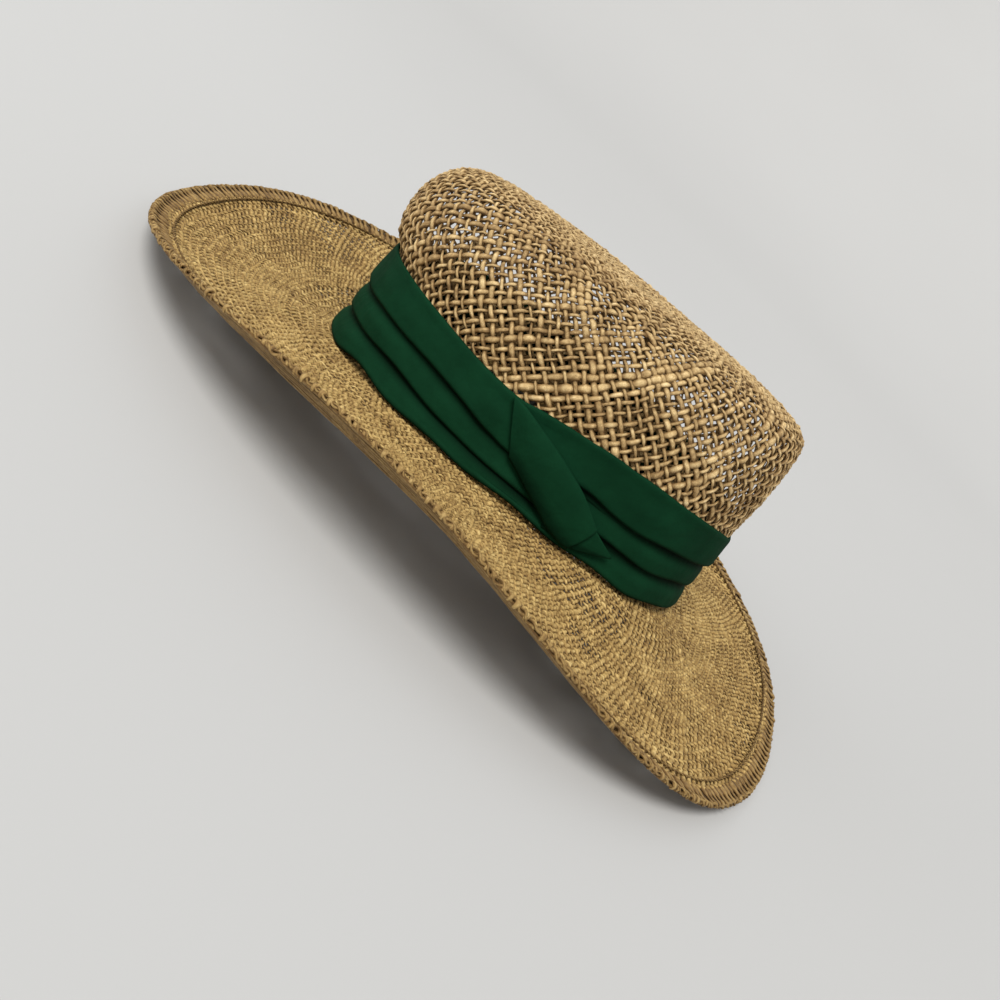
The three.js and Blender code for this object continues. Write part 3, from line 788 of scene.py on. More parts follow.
class Shader:
    """Small helper that builds a material's nodes."""

    def __init__(self, name):
        self.material = bpy.data.materials.new(name)
        self.material.use_nodes = True
        self.tree = self.material.node_tree
        self.surface = self.tree.nodes["Principled BSDF"]

    def node(self, kind, inputs=(), **settings):
        """Adds a node of the material."""
        return add_node(self.tree, kind, inputs, **settings)

    def done(self, inputs):
        """The material, once these inputs of its surface are linked or set."""
        for name, value in inputs.items():
            put(self.tree, self.surface.inputs[name], value)
        return self.material

    def bump(self, height, strength, distance, **under):
        """Small unevenness, over another one if that is given."""
        inputs = {"Strength": strength, "Distance": distance, "Height": height, **under}
        return self.node("ShaderNodeBump", inputs).outputs["Normal"]

    def vectors(self, operation, first, second):
        """One step of arithmetic with vectors or colours."""
        inputs = {0: first, "Scale" if operation == "SCALE" else 1: second}
        return self.node("ShaderNodeVectorMath", inputs, operation=operation).outputs["Vector"]

    def math(self, operation, first, second=0.0, third=0.0, clamp=False):
        """One step of arithmetic."""
        node = self.node("ShaderNodeMath", {0: first, 1: second, 2: third}, operation=operation)
        node.use_clamp = clamp
        return node.outputs[0]

    def attribute(self, name, output="Fac"):
        """What is stored on the mesh under a name."""
        return self.node("ShaderNodeAttribute", attribute_name=name).outputs[output]

    def noise(self, vector, scale, detail=2.0, roughness=0.5):
        """Smooth noise from 0 to 1."""
        inputs = {"Vector": vector, "Scale": scale, "Detail": detail, "Roughness": roughness}
        return self.node("ShaderNodeTexNoise", inputs).outputs["Fac"]

    def spread(self, value, low, high, to_low=0.0, to_high=1.0):
        """Stretches a value's range."""
        inputs = {"Value": value, "From Min": low, "From Max": high, "To Min": to_low, "To Max": to_high}
        return self.node("ShaderNodeMapRange", inputs).outputs["Result"]

    def ramp(self, value, stops):
        """Colours along a value."""
        node = self.node("ShaderNodeValToRGB", {"Fac": value})
        band = node.color_ramp
        while len(band.elements) < len(stops):
            band.elements.new(0.5)
        for element, (position, colour) in zip(band.elements, stops):
            element.position = position
            element.color = (*colour, 1)
        return node.outputs["Color"]


# How straw darkens and warms where it lies in the shade of its neighbours.
STRAW_SHADE = ((0.0, (0.10, 0.055, 0.02)), (0.45, (0.42, 0.34, 0.24)), (1.0, (1.0, 1.0, 1.0)))
# Four tones of straw, from stained to bleached, as shares of the usual light one.
STRAW_TONES = (
    (0.0, (0.30, 0.24, 0.17)),
    (0.35, (0.62, 0.56, 0.47)),
    (0.7, (0.9, 0.88, 0.82)),
    (1.0, (1.16, 1.24, 1.36)),
)
# Fibres: radians that they twist and steps that they change in a metre of strand, and how many
# lie across it.
FIBRE_TWIST = 180.0
FIBRE_CHANGE = 95.0
FIBRES_ACROSS = 7.0


def straw_stops(light):
    """The tones of straw as colours, worked out from the usual light one."""
    return tuple((at, tuple(min(1.0, c * k) for c, k in zip(light, by))) for at, by in STRAW_TONES)


def straw_material(name, light, deep=0.45, flank=0.4):
    """Dry twisted straw: lengthwise fibres, uneven tone, and painted shade in its dips and on its flanks.
    """
    shader = Shader(name)
    across = shader.attribute("fibre_across", "Vector")
    length = shader.attribute("fibre_along")
    tint = shader.attribute("strand_tint")
    rise = shader.attribute("weave_rise")
    object_place = shader.node("ShaderNodeTexCoord").outputs["Object"]
    twist = shader.math("MULTIPLY", length, FIBRE_TWIST)
    turned = shader.node(
        "ShaderNodeVectorRotate",
        {"Vector": across, "Axis": (0.0, 0.0, 1.0), "Angle": twist},
        rotation_type="AXIS_ANGLE",
    ).outputs["Vector"]
    own_pattern = shader.math("MULTIPLY", tint, 71.0)
    stretch = shader.math("MULTIPLY_ADD", length, FIBRE_CHANGE, own_pattern)
    lift = shader.node("ShaderNodeCombineXYZ", {"Z": stretch}).outputs["Vector"]
    thread = shader.vectors("ADD", shader.vectors("SCALE", turned, FIBRES_ACROSS), lift)
    fibres = shader.noise(thread, 1.0, 4.0, 0.62)
    patches = shader.noise(object_place, 55.0, 2.0)
    blotches = shader.noise(object_place, 620.0, 1.0)
    own_tone = shader.math("MULTIPLY", tint, 0.42)
    tone = shader.math("MULTIPLY_ADD", shader.spread(fibres, 0.32, 0.68), 0.5, own_tone)
    tone = shader.math("ADD", tone, shader.spread(patches, 0.3, 0.7, -0.13, 0.07))
    tone = shader.math("ADD", tone, shader.spread(blotches, 0.35, 0.65, -0.13, 0.16), clamp=True)
    colour = shader.ramp(tone, straw_stops(light))
    # Painted shade: the colour is darkened and warmed where a strand dips under its neighbours and towards
    # its flanks.
    dip = shader.spread(rise, -1.0, 0.5, deep, 1.0)
    apart = shader.node("ShaderNodeSeparateXYZ", {"Vector": across})
    sideways = shader.math("ABSOLUTE", apart.outputs["Y"])
    lit = shader.math("MULTIPLY", dip, shader.spread(sideways, 0.2, 0.5, 1.0, flank))
    shade = shader.ramp(lit, STRAW_SHADE)
    return shader.done({
        "Base Color": shader.vectors("MULTIPLY", colour, shade),
        "Roughness": shader.spread(fibres, 0.3, 0.7, 0.5, 0.78),
        "Specular IOR Level": 0.35,
        "Normal": shader.bump(fibres, 0.8, 0.0005),
    })


def cloth_material(name, colour, shade):
    """Matte plain-woven cotton: fine threads and slight slubs."""
    shader = Shader(name)
    place = shader.node("ShaderNodeUVMap", uv_map="cloth").outputs["UV"]
    object_place = shader.node("ShaderNodeTexCoord").outputs["Object"]
    even = {"Vector": place, "Scale": 500.0, "Distortion": 0.6, "Detail": 1.0, "Detail Scale": 0.4}
    warp, weft = (
        shader.node("ShaderNodeTexWave", even, wave_type="BANDS", bands_direction=way).outputs["Fac"]
        for way in "XY"
    )
    weave = shader.math("MAXIMUM", warp, weft)
    slub = shader.noise(place, 900.0, 2.0)
    worn = shader.noise(object_place, 60.0, 3.0)
    soft = shader.noise(object_place, 220.0, 2.0)
    tone = shader.math("MULTIPLY_ADD", weave, 0.25, shader.math("MULTIPLY", slub, 0.3))
    tone = shader.math("ADD", tone, shader.spread(worn, 0.3, 0.7, 0.0, 0.45), clamp=True)
    dyed = shader.ramp(tone, ((0.1, shade), (0.9, colour)))
    # Painted shade: the cloth's colour is darkened deep in its creases and where it turns under.
    painted_light = shader.spread(shader.attribute("cloth_painted_light"), 0.0, 1.0, 0.16, 1.0)
    threads = shader.bump(weave, 0.16, 0.00012)
    return shader.done({
        "Base Color": shader.vectors("SCALE", dyed, painted_light),
        "Roughness": 0.82,
        "Specular IOR Level": 0.04,
        "Normal": shader.bump(soft, 0.5, 0.0009, Normal=threads),
    })


def floor_material(colour):
    """Plain pale floor with the faintest unevenness."""
    shader = Shader("pale_floor")
    place = shader.node("ShaderNodeTexCoord").outputs["Object"]
    cloud = shader.noise(place, 1.2, 2.0)
    paler = tuple(min(1.0, channel * 1.03) for channel in colour)
    tones = shader.ramp(cloud, ((0.3, colour), (0.7, paler)))
    return shader.done({"Base Color": tones, "Roughness": 0.9, "Specular IOR Level": 0.1})


def linear(red, green, blue):
    """Screen colour from 0 to 255 as the linear colour that Blender works in."""
    channels = [c / 255 for c in (red, green, blue)]
    return tuple(c / 12.92 if c <= 0.04045 else ((c + 0.055) / 1.055) ** 2.4 for c in channels)


class HatWeave(bpy.types.PropertyGroup):
    """Sizes of the woven straw."""

    crown_strands: IntProperty(
        name="Crown strands", description="Strands of each family round the crown",
        default=102,
    )
    crown_width: FloatProperty(
        name="Crown strand width", description="Width of a strand of the crown",
        default=0.0017, unit="LENGTH",
    )
    crown_thickness: FloatProperty(
        name="Crown strand thickness", description="Thickness of a strand of the crown",
        default=0.0010, unit="LENGTH",
    )
    brim_strands: IntProperty(
        name="Brim strands", description="Strands of each family where the brim starts, a multiple of 4",
        default=168,
    )
    brim_width: FloatProperty(
        name="Brim strand width", description="Width of a strand of the brim",
        default=0.0019, unit="LENGTH",
    )
    brim_thickness: FloatProperty(
        name="Brim strand thickness", description="Thickness of a strand of the brim",
        default=0.0010, unit="LENGTH",
    )
    bias: FloatProperty(
        name="Bias", description="Angle between the strands and the ring of the hat",
        default=math.radians(44), unit="ROTATION",
    )
    seed: IntProperty(
        name="Seed", description="Seed of every unevenness in the straw",
        default=7,
    )


class HatHem(bpy.types.PropertyGroup):
    """Sizes of the bound hem."""

    rib_spacing: FloatProperty(
        name="Rib spacing", description="Distance between the turns of straw that bind the hem",
        default=0.0039, unit="LENGTH",
    )
    rib_width: FloatProperty(
        name="Rib width", description="Width of a turn of straw",
        default=0.0027, unit="LENGTH",
    )
    rib_thickness: FloatProperty(
        name="Rib thickness", description="Thickness of a turn of straw",
        default=0.0009, unit="LENGTH",
    )
    cord_ply: FloatProperty(
        name="Cord ply", description="Thickness of one ply of the cord along the hem",
        default=0.0007, unit="LENGTH",
    )


class HatBand(bpy.types.PropertyGroup):
    """Sizes of the cloth band."""

    cloth_thickness: FloatProperty(
        name="Cloth thickness", description="Thickness of the doubled cloth",
        default=0.0007, unit="LENGTH",
    )
    rumple: FloatProperty(
        name="Rumple", description="How far the folds wander from an even run",
        default=0.00035, unit="LENGTH",
    )


class HatColours(bpy.types.PropertyGroup):
    """Colours of the hat and its stage."""

    crown: FloatVectorProperty(
        name="Crown straw", description="Light straw of the crown",
        default=linear(238, 208, 154), size=3, subtype="COLOR",
    )
    brim: FloatVectorProperty(
        name="Brim straw", description="Light straw of the brim",
        default=linear(222, 190, 124), size=3, subtype="COLOR",
    )
    hem: FloatVectorProperty(
        name="Hem straw", description="Duller straw of the hem",
        default=linear(182, 151, 95), size=3, subtype="COLOR",
    )
    cloth: FloatVectorProperty(
        name="Band cloth", description="Green of the band in the light",
        default=linear(15, 56, 34), size=3, subtype="COLOR",
    )
    floor: FloatVectorProperty(
        name="Floor", description="Pale floor",
        default=linear(190, 190, 189), size=3, subtype="COLOR",
    )


# The two weaves. Lengths are in metres.
WEAVE_LOOKS = (
    # what, crown, brim
    # Points on a strand from one crossing to the next.
    ("steps", 3, 2),
    # Where the sheet's middle lies off its skin, and how far strands go over and under it.
    ("middle", -1.0 * MM, 0.0),
    ("rise", 0.5 * MM, 0.4 * MM),
    # How far strands wander, together and each by itself.
    ("drift", 0.36 * MM, 0.4 * MM),
    ("own_drift", 0.3 * MM, 0.2 * MM),
    # Spread of the strands' thickness, share of thick ones, and how much thicker those are.
    ("uneven", 0.2, 0.15),
    ("thick_share", 0.08, 0.04),
    ("thick_by", 1.3, 1.3),
    # How much thicker a strand is where it goes over, and the spacing below which it thins.
    ("lens", 0.1, 0.12),
    ("crowded", 3.3 * MM, 1.9 * MM),
    # Spread of tone and of thickness along a strand, and of tone among strands.
    ("spots", 0.26, 0.3),
    ("lumps", 0.12, 0.13),
    ("tones", 0.2, 0.18),
    # Length round the skin below which the weave ends.
    ("least_ring", 17 * MM, 0.0),
)
# Every so many strands become so many once their spacing passes a limit in millimetres.
WEAVE_CHANGES = {
    "crown": ((6, 5, 4.75), (5, 4, 4.7), (4, 3, 4.6), (3, 2, 4.4), (2, 1, 4.0)),
    "brim": ((2, 3, 4.1),),
}


def weave(part, skin, sizes, seed, sides, straw):
    """Weaves both families of a part's strands."""
    look = {what: crown if part == "crown" else brim for what, crown, brim in WEAVE_LOOKS}
    changes = [(every, become, limit * MM) for every, become, limit in WEAVE_CHANGES[part]]
    count = getattr(sizes, part + "_strands")
    width, thickness = getattr(sizes, part + "_width"), getattr(sizes, part + "_thickness")
    plan = plan_weave(skin, count, math.tan(sizes.bias), changes, look["least_ring"])
    for family, side in enumerate(("left", "right")):
        lines = woven_family(skin, plan, family, look, seed)
        piece = strands_from(f"{part}_strands_{side}", lines, width, thickness, sides, straw)
        hand_over(piece, part)


class WeaveCrown(bpy.types.Operator):
    """Weaves the open crown from two leaning families of strands"""

    bl_idname = "hat.weave_crown"
    bl_label = "Weave crown"

    def execute(self, context):
        sizes = context.scene.hat_weave
        straw = straw_material("crown_strand_straw", context.scene.hat_colours.crown)
        weave("crown", crown_skin(), sizes, sizes.seed, 5, straw)
        return {"FINISHED"}


class WeaveBrim(bpy.types.Operator):
    """Weaves the close brim from two leaning families of finer strands"""

    bl_idname = "hat.weave_brim"
    bl_label = "Weave brim"

    def execute(self, context):
        sizes = context.scene.hat_weave
        straw = straw_material("brim_strand_straw", context.scene.hat_colours.brim, deep=0.48)
        weave("brim", brim_skin(), sizes, sizes.seed + 50, 4, straw)
        return {"FINISHED"}


# Width of a turn of straw along its way from the middle of the hem to just under the rim.
RIB_SHAPE = table(
    "share width",
    (0.12, 1.25),
    (0.20, 1.50),
    (0.27, 1.45),
    (0.31, 0.85),
    (0.35, 0.74),
    (0.38, 0.82),
    (0.41, 1.25),
    (0.46, 1.10),
    (0.50, 0.75),
    (0.55, 0.55),
)
RIB_STEPS = 16
RIM_SHARE = 0.5
RIM_BEND = (0.38, 0.48)
# How unevenly the turns stand, in shares of their spacing, how their thickness, height in
# millimetres and tone vary, and means and spreads of what the knots on the rim add.
RIB_STRAY = 0.12
RIB_UNEVEN = 0.13
RIB_LIFT = 0.08
RIB_TONE = (0.5, 0.18)
KNOT_LIFT = (0.22, 0.18)
KNOT_TONE = (0.2, 0.3)
# Strands laid round the underside: where across the hem, and their width and thickness.
ROUND_SHARES = np.linspace(0.565, 0.965, 6)
ROUND_STEPS = 420
ROUND_STRAND = (2.2 * MM, 0.9 * MM)
# Cord along the hem's inner edge: where, how high in plies, how far apart its twists are.
CORD_SHARE = 0.03
CORD_LIFT = 1.3
CORD_TWIST = 6 * MM
CORD_PLIES = 2
# Plait along the rim: where, how far it swings and lies off the hem, and its strands.
PLAIT_SHARE = RIM_SHARE - 0.01
PLAIT_SWING = 0.75 * MM
PLAIT_LIFT = 0.05 * MM
PLAIT_STRAND = (1.15 * MM, 0.9 * MM)
# How far the turns and the sheet inside them stop short of the rim, in millimetres.
RIB_INSET = 0.9
CORE_INSET = 1.6
CORE_HALF_THICKNESS = 0.35
CORE_RINGS = 240
CORE_ROWS = 15
# Painted shade: the sheet inside the hem is painted far darker than the hem's straw.
CORE_PAINTED_SHADE_TONES = ((0.3, (0.10, 0.075, 0.05)), (0.7, (0.26, 0.21, 0.15)))


def rib_count(skin, spacing):
    """Even number of turns of straw round the hem."""
    return 2 * int(round(skin.ring[SKIN_ROWS // 2] / spacing / 2))


def square_to_rim(skin, turn):
    """How far a line over the hem is turned back at its inner end to meet the rim squarely."""
    step = 0.002
    turns = np.array((turn - step, turn, turn + step))
    rim = skin.at(turns, np.full(3, RIM_SHARE))[0]
    inner = skin.at(np.array((turn,)), np.zeros(1))[0][0]
    tangent = rim[2] - rim[0]
    return -float(np.dot(inner - rim[1], tangent) / np.dot(tangent, tangent)) * 2 * step


def hem_ribs(skin, count, seed):
    """Turns of straw that cross the top of the hem and knot over the rim."""
    draw = np.random.default_rng(seed)
    share = np.linspace(RIB_SHAPE["share"][0], RIB_SHAPE["share"][-1], RIB_STEPS)
    width = np.interp(share, RIB_SHAPE["share"], RIB_SHAPE["width"])
    on_rim = smooth_step(*RIM_BEND, share)
    # Painted shade: a turn of straw is painted darker at its inner end, where it dives in, and least shaded
    # over the rim.
    rise = 0.35 - 0.7 * smooth_step(0.18, 0.13, share) + 0.45 * on_rim
    lines = []
    for k in range(count):
        middle = (k + draw.normal(0, RIB_STRAY)) / count
        turn = middle + square_to_rim(skin, middle) * (1 - share / RIM_SHARE)
        knot = on_rim * draw.normal(*KNOT_LIFT) * MM
        points, normals = skin.at(turn, share, knot + draw.normal(0, RIB_LIFT * MM))
        tone = draw.normal(*RIB_TONE)
        scale = width * math.exp(draw.normal(0, RIB_UNEVEN))
        lines.append(guide_line(points, normals, scale, tone + on_rim * draw.normal(*KNOT_TONE), rise))
    return lines


def hem_rounds(skin, seed):
    """Strands laid side by side round the underside of the hem."""
    turn = np.arange(ROUND_STEPS) / ROUND_STEPS
    lines = []
    for number, share in enumerate(ROUND_SHARES):
        wave = Wander(seed + number, finest_round=60)
        drift = share + 0.006 * wave.at(turn, 0.2)
        points, normals = skin.at(turn, drift, 0.05 * MM * wave.at(turn, 0.6))
        tint = 0.34 + 0.16 * Wander(seed + 20 + number, finest_round=140).at(turn, 0)
        lines.append(guide_line(points, normals, 1 + 0.1 * wave.at(turn, 0.4), tint, 0.3, closed=True))
    return lines


def twisted_cord(skin, ply, seed):
    """Plies of the cord that runs round the hat along the hem."""
    twists = int(round(float(np.interp(CORD_SHARE, skin.shares, skin.ring)) / CORD_TWIST))
    steps = twists * 6
    turn = np.arange(steps) / steps
    drift = Wander(seed)
    up = unit(skin.at(turn, CORD_SHARE + 0.01)[0] - skin.at(turn, CORD_SHARE - 0.01)[0])
    points, normals = skin.at(turn, CORD_SHARE, ply * CORD_LIFT)
    lines = []
    for number in range(CORD_PLIES):
        wind = TURN * (twists * turn + number / CORD_PLIES)
        out = normals * np.cos(wind)[:, None] + up * np.sin(wind)[:, None]
        scale = 1 + 0.1 * drift.at(turn, number * 0.4)
        tint = 0.5 + 0.22 * Wander(seed + 1 + number, finest_round=80).at(turn, 0)
        # Painted shade: each ply is painted darker where it turns in towards the hem.
        rise = np.cos(wind) * 0.5 + 0.4
        lines.append(guide_line(points + out * ply * 0.48, out, scale, tint, rise, closed=True))
    return lines


def rim_plait(skin, waves, seed):
    """Two strands that cross each other along the rim, with open loops between."""
    steps = waves * 8
    turn = np.arange(steps) / steps
    lines = []
    for number in range(2):
        wave = TURN * waves * turn + math.pi * number
        loose = Wander(seed + 2 + number, finest_round=160)
        side = PLAIT_SWING / skin.run[-1] * (np.sin(wave) + 0.45 * loose.at(turn, 0.3))
        over = 0.3 * MM * np.cos(wave) + 0.12 * MM * loose.at(turn, 0.7)
        points, normals = skin.at(turn, PLAIT_SHARE + side, PLAIT_LIFT + over)
        scale = 1 + 0.12 * Wander(seed + number).at(turn, 0)
        tint = 0.62 + 0.22 * Wander(seed + 5 + number, finest_round=90).at(turn, 0)
        # Painted shade: each strand is painted darker where it passes under the other.
        rise = 0.6 + 0.4 * np.cos(wave)
        lines.append(guide_line(points, normals, scale, tint, rise, closed=True))
    return lines


def hem_core(skin, material):
    """The turned-in sheet inside the hem, painted dark as the shade seen between the turns of straw."""
    turn = np.arange(CORE_RINGS) / CORE_RINGS
    shares = np.linspace(0, 1, CORE_ROWS)
    grid = np.stack([skin.at(turn, np.full(CORE_RINGS, share))[0] for share in shares], 1)
    faces = []
    for i in range(CORE_RINGS):
        here, following = i * CORE_ROWS, (i + 1) % CORE_RINGS * CORE_ROWS
        for k in range(CORE_ROWS):
            m = (k + 1) % CORE_ROWS
            faces.append((here + k, here + m, following + m, following + k))
    mesh = bpy.data.meshes.new("hem_core")
    mesh.from_pydata(grid.reshape(-1, 3).tolist(), [], faces)
    mesh.validate()
    mesh.shade_smooth()
    return plain_object("hem_core", mesh, material)


def core_shade_material(colour):
    """Straw inside the hem, painted dark as shade between the turns over it."""
    shader = Shader("hem_core_painted_shade")
    grain = shader.noise(shader.node("ShaderNodeTexCoord").outputs["Object"], 900.0, 3.0)
    tones = [(at, tuple(c * by for c, by in zip(colour, shares))) for at, shares in CORE_PAINTED_SHADE_TONES]
    return shader.done({
        "Base Color": shader.ramp(grain, tones),
        "Roughness": 0.85,
        "Normal": shader.bump(grain, 0.6, 0.0004),
    })


class BindHem(bpy.types.Operator):
    """Binds the turned hem with ribs of straw, cords and a plaited rim"""

    bl_idname = "hat.bind_hem"
    bl_label = "Bind hem"

    def execute(self, context):
        sizes = context.scene.hat_hem
        seed = context.scene.hat_weave.seed + 100
        colour = tuple(context.scene.hat_colours.hem)
        straw = straw_material("hem_strand_straw", colour, deep=0.4)
        skin = hem_skin(HEM_HALF_THICKNESS, HEM_WIDTH - RIB_INSET)
        inner_skin = hem_skin(CORE_HALF_THICKNESS, HEM_WIDTH - CORE_INSET)
        hand_over(hem_core(inner_skin, core_shade_material(colour)), "brim_hem")
        ribs = rib_count(skin, sizes.rib_spacing)
        ply = sizes.cord_ply
        for name, lines, strand, sides in (
            ("hem_ribs", hem_ribs(skin, ribs, seed), (sizes.rib_width, sizes.rib_thickness), 6),
            ("hem_rounds", hem_rounds(skin, seed + 60), ROUND_STRAND, 6),
            ("hem_cords", twisted_cord(skin, ply, seed + 5), (ply, ply), 5),
            ("hem_rim_plait", rim_plait(skin, ribs // 2, seed + 40), PLAIT_STRAND, 6),
        ):
            hand_over(strands_from(name, lines, *strand, sides, straw), "brim_hem")
        return {"FINISHED"}


def pressed(fold, least, degrees):
    """Share of its swell that a fold keeps at an angle."""
    start, full, release, end = fold["press"]
    return 1 - (1 - least) * (smooth_step(start, full, degrees) - smooth_step(release, end, degrees))


def over_crown(angle, height, off):
    """Points a distance off the crown's outer face, in the hat's own frame."""
    x, y = ring_point(angle, crown_out(angle, height) + off)
    return np.stack([x, y, height], -1)


def cloth_sheet(name, grid, light, thickness, closed, material):
    """A sheet of cloth from a grid of its middle face, given its thickness both ways.

    Light is painted shade, from 0 to 1, by how open each point lies: 0 is deep in a crease and painted
    darkest.
    """
    rings, rows = grid.shape[:2]
    middle = grid[:, rows // 2]
    length = running(np.linalg.norm(np.roll(middle, -1, axis=0) - middle, axis=1))
    depth = running(np.linalg.norm(np.diff(grid[0], axis=0), axis=1))
    faces = []
    uvs = []
    for i in range(rings if closed else rings - 1):
        here, following = i * rows, (i + 1) % rings * rows
        near, far = length[i : i + 2]
        for k in range(rows - 1):
            faces.append((here + k, following + k, following + k + 1, here + k + 1))
            low, high = depth[k : k + 2]
            uvs += [(near, low), (far, low), (far, high), (near, high)]
    mesh = bpy.data.meshes.new(name)
    mesh.from_pydata(grid.reshape(-1, 3).tolist(), [], faces)
    mesh.uv_layers.new(name="cloth").data.foreach_set("uv", np.array(uvs).ravel())
    store(mesh, "cloth_painted_light", light.ravel())
    mesh.shade_smooth()
    sheet = plain_object(name, mesh, material)
    solidify = sheet.modifiers.new("cloth thickness", "SOLIDIFY")
    solidify.thickness = thickness
    solidify.offset = 0
    solidify.use_rim = True
    thick = baked_mesh(sheet, name)
    sheet.modifiers.remove(solidify)
    sheet.data = thick
    return sheet


def fold_grid(name, top_line, bottom_line, rumple, rings=300, rows=30):
    """Middle face of one fold: turned in at its top, swelling, rolled under at its lip."""
    fold = FOLDS[name]
    angle = even_angles(rings)
    degrees = np.degrees(angle)
    press = pressed(fold, fold["least"], degrees)
    top, bottom = top_line(degrees), bottom_line(degrees)
    drift = Wander(fold["seed"], waves=14, finest_round=16)
    turn = np.arange(rings) / rings
    bottom = bottom + rumple * drift.at(turn, 0.0) * FOLD_EDGE_DRIFT
    high, middle, lip = fold["swell"]
    lip = np.maximum(lip * pressed(fold, fold["lip_least"], degrees), PRESSED_LIP)
    high = high * press * (1 + FOLD_SWELL_DRIFT * drift.at(turn, 0.3))
    middle = middle * press * (1 + FOLD_SWELL_DRIFT * drift.at(turn, 0.6))
    height = top - bottom
    rounding = fold["rounding"]
    body = (
        FOLD_TOP_OFF + high * mix(*FOLD_TOP_SWELL, rounding),
        high * mix(*FOLD_HIGH_SWELL, rounding),
        middle * mix(*FOLD_MIDDLE_SWELL, rounding),
        mix(middle, lip, FOLD_LOW_TO_LIP),
    )
    section = [(off, top + lift) for off, lift in TOP_TURN]
    section += [(off, top - share * height) for off, share in zip(body, FOLD_DOWN)]
    section += [(lip + off, bottom + lift) for off, lift in LIP_ROLL]
    lines = [over_crown(angle, z, np.maximum(off, FOLD_LEAST_OFF) - FOLD_SINKS) for off, z in section]
    points = resampled(np.stack(lines, axis=1), rows)
    # Painted shade: darkest just under the lip of the fold above, and where this fold's own lip rolls
    # under.
    below_top = (top[:, None] - points[..., 2]) - TUCK_UNDER
    tucked = smooth_step(-0.5, CREASE_DEPTH, below_top) if rounding else np.ones_like(below_top)
    lip_turn = smooth_step(0.1, 1.3, points[..., 2] - bottom[:, None])
    return to_row(points), tucked * mix(LIP_LIGHT, 1.0, lip_turn)


def wrap_grid(steps=70, rows=30):
    """Middle face of the wrap: a flattened roll, its long edges turned under."""
    share = np.linspace(0, 1, steps)
    low_angle, low_z = along(WRAP_EDGES, "low_angle", share), along(WRAP_EDGES, "low_z", share)
    high_angle, high_z = along(WRAP_EDGES, "high_angle", share), along(WRAP_EDGES, "high_z", share)
    inner = mix(WRAP_STAND_OFF["start"], WRAP_STAND_OFF["end"], share)
    risen = (WRAP_CROWN["full"] - WRAP_CROWN["start"]) * smooth_step(0, WRAP_CROWN["risen_at"], share)
    fallen = (WRAP_CROWN["full"] - WRAP_CROWN["end"]) * smooth_step(WRAP_CROWN["falls_at"], 1, share)
    rise = WRAP_CROWN["start"] + risen - fallen
    lines = []
    for across, off in zip(*WRAP_SECTION.values()):
        z = mix(low_z, high_z, across)
        angle = np.radians(mix(low_angle, high_angle, across))
        arch = np.sqrt(np.maximum(1 - (2 * across - 1) ** 2, 0))
        risen_by = (WRAP_LEAST_RISE + rise * arch) * off
        lines.append(over_crown(angle, z, inner + WRAP_UNDERSIDE_OFF + risen_by))
    return to_row(resampled(np.stack(lines, axis=1), rows))


def tab_grid(steps=24, rows=14):
    """Middle face of the tab: a pointed cloth end that runs on beneath the wrap."""
    low, point, high = (np.array(corner) for corner in TAB_CORNERS)
    lines = []
    share = np.linspace(-TAB_TUCKED_SHARE, TAB_BLUNT_AT, steps)
    narrowing = np.maximum(share, 0)[:, None]
    tucked = smooth_step(0.1, -0.2, share)
    for across in np.linspace(0, 1, 7):
        base = mix(low, high, across)
        spot = mix(base[None], point[None], narrowing)
        spot = spot + (point - mix(low, high, 0.5)) * np.minimum(share, 0)[:, None]
        bulge = TAB_BULGE * np.sin(math.pi * across) * (1 - narrowing[:, 0])
        off = mix(TAB_STAND_OFF + TAB_HALF_CLOTH + bulge, TAB_TUCKED_OFF, tucked)
        lines.append(over_crown(np.radians(spot[:, 0]), spot[:, 1], off))
    return to_row(resampled(np.stack(lines, axis=1), rows))


class FoldBand(bpy.types.Operator):
    """Lays the three shingled folds of the cloth band round the crown"""

    bl_idname = "hat.fold_band"
    bl_label = "Fold band"

    def execute(self, context):
        sizes = context.scene.hat_band
        green = tuple(context.scene.hat_colours.cloth)
        cloth = cloth_material("green_cotton", green, tuple(c * 0.55 for c in green))

        def line(column, lift):
            return lambda degrees: around(BAND_LINES, column, degrees) + lift

        def foot(degrees):
            return junction_height(np.radians(degrees)) + BAND_FOOT_CLEARANCE

        rumple = sizes.rumple / MM
        for name, top_line, bottom_line in (
            ("top", line("top", 0), line("upper_crease", 0)),
            ("middle", line("upper_crease", TUCK_UNDER), line("lower_crease", 0)),
            ("bottom", line("lower_crease", TUCK_UNDER), foot),
        ):
            grid, light = fold_grid(name, top_line, bottom_line, rumple)
            piece = cloth_sheet("cloth_fold_" + name, grid, light, sizes.cloth_thickness, True, cloth)
            hand_over(piece, "band_fold_" + name)
        return {"FINISHED"}


class WrapBand(bpy.types.Operator):
    """Turns the end of the band down over its folds and adds the tab below it"""

    bl_idname = "hat.wrap_band"
    bl_label = "Wrap band"

    def execute(self, context):
        sizes = context.scene.hat_band
        cloth = bpy.data.materials["green_cotton"]
        for name, grid, node in (
            ("cloth_wrap", wrap_grid(), "band_wrap"),
            ("cloth_tab", tab_grid(), "band_tab"),
        ):
            # Painted shade: the cloth is painted darker along its lower side, where it turns under.
            across = np.linspace(0, 1, grid.shape[1])[None]
            light = mix(WRAP_EDGE_LIGHT, 1.0, smooth_step(0.2, 0.42, across)) * np.ones(grid.shape[:2])
            piece = cloth_sheet(name, grid, light, sizes.cloth_thickness, False, cloth)
            hand_over(piece, node)
        return {"FINISHED"}


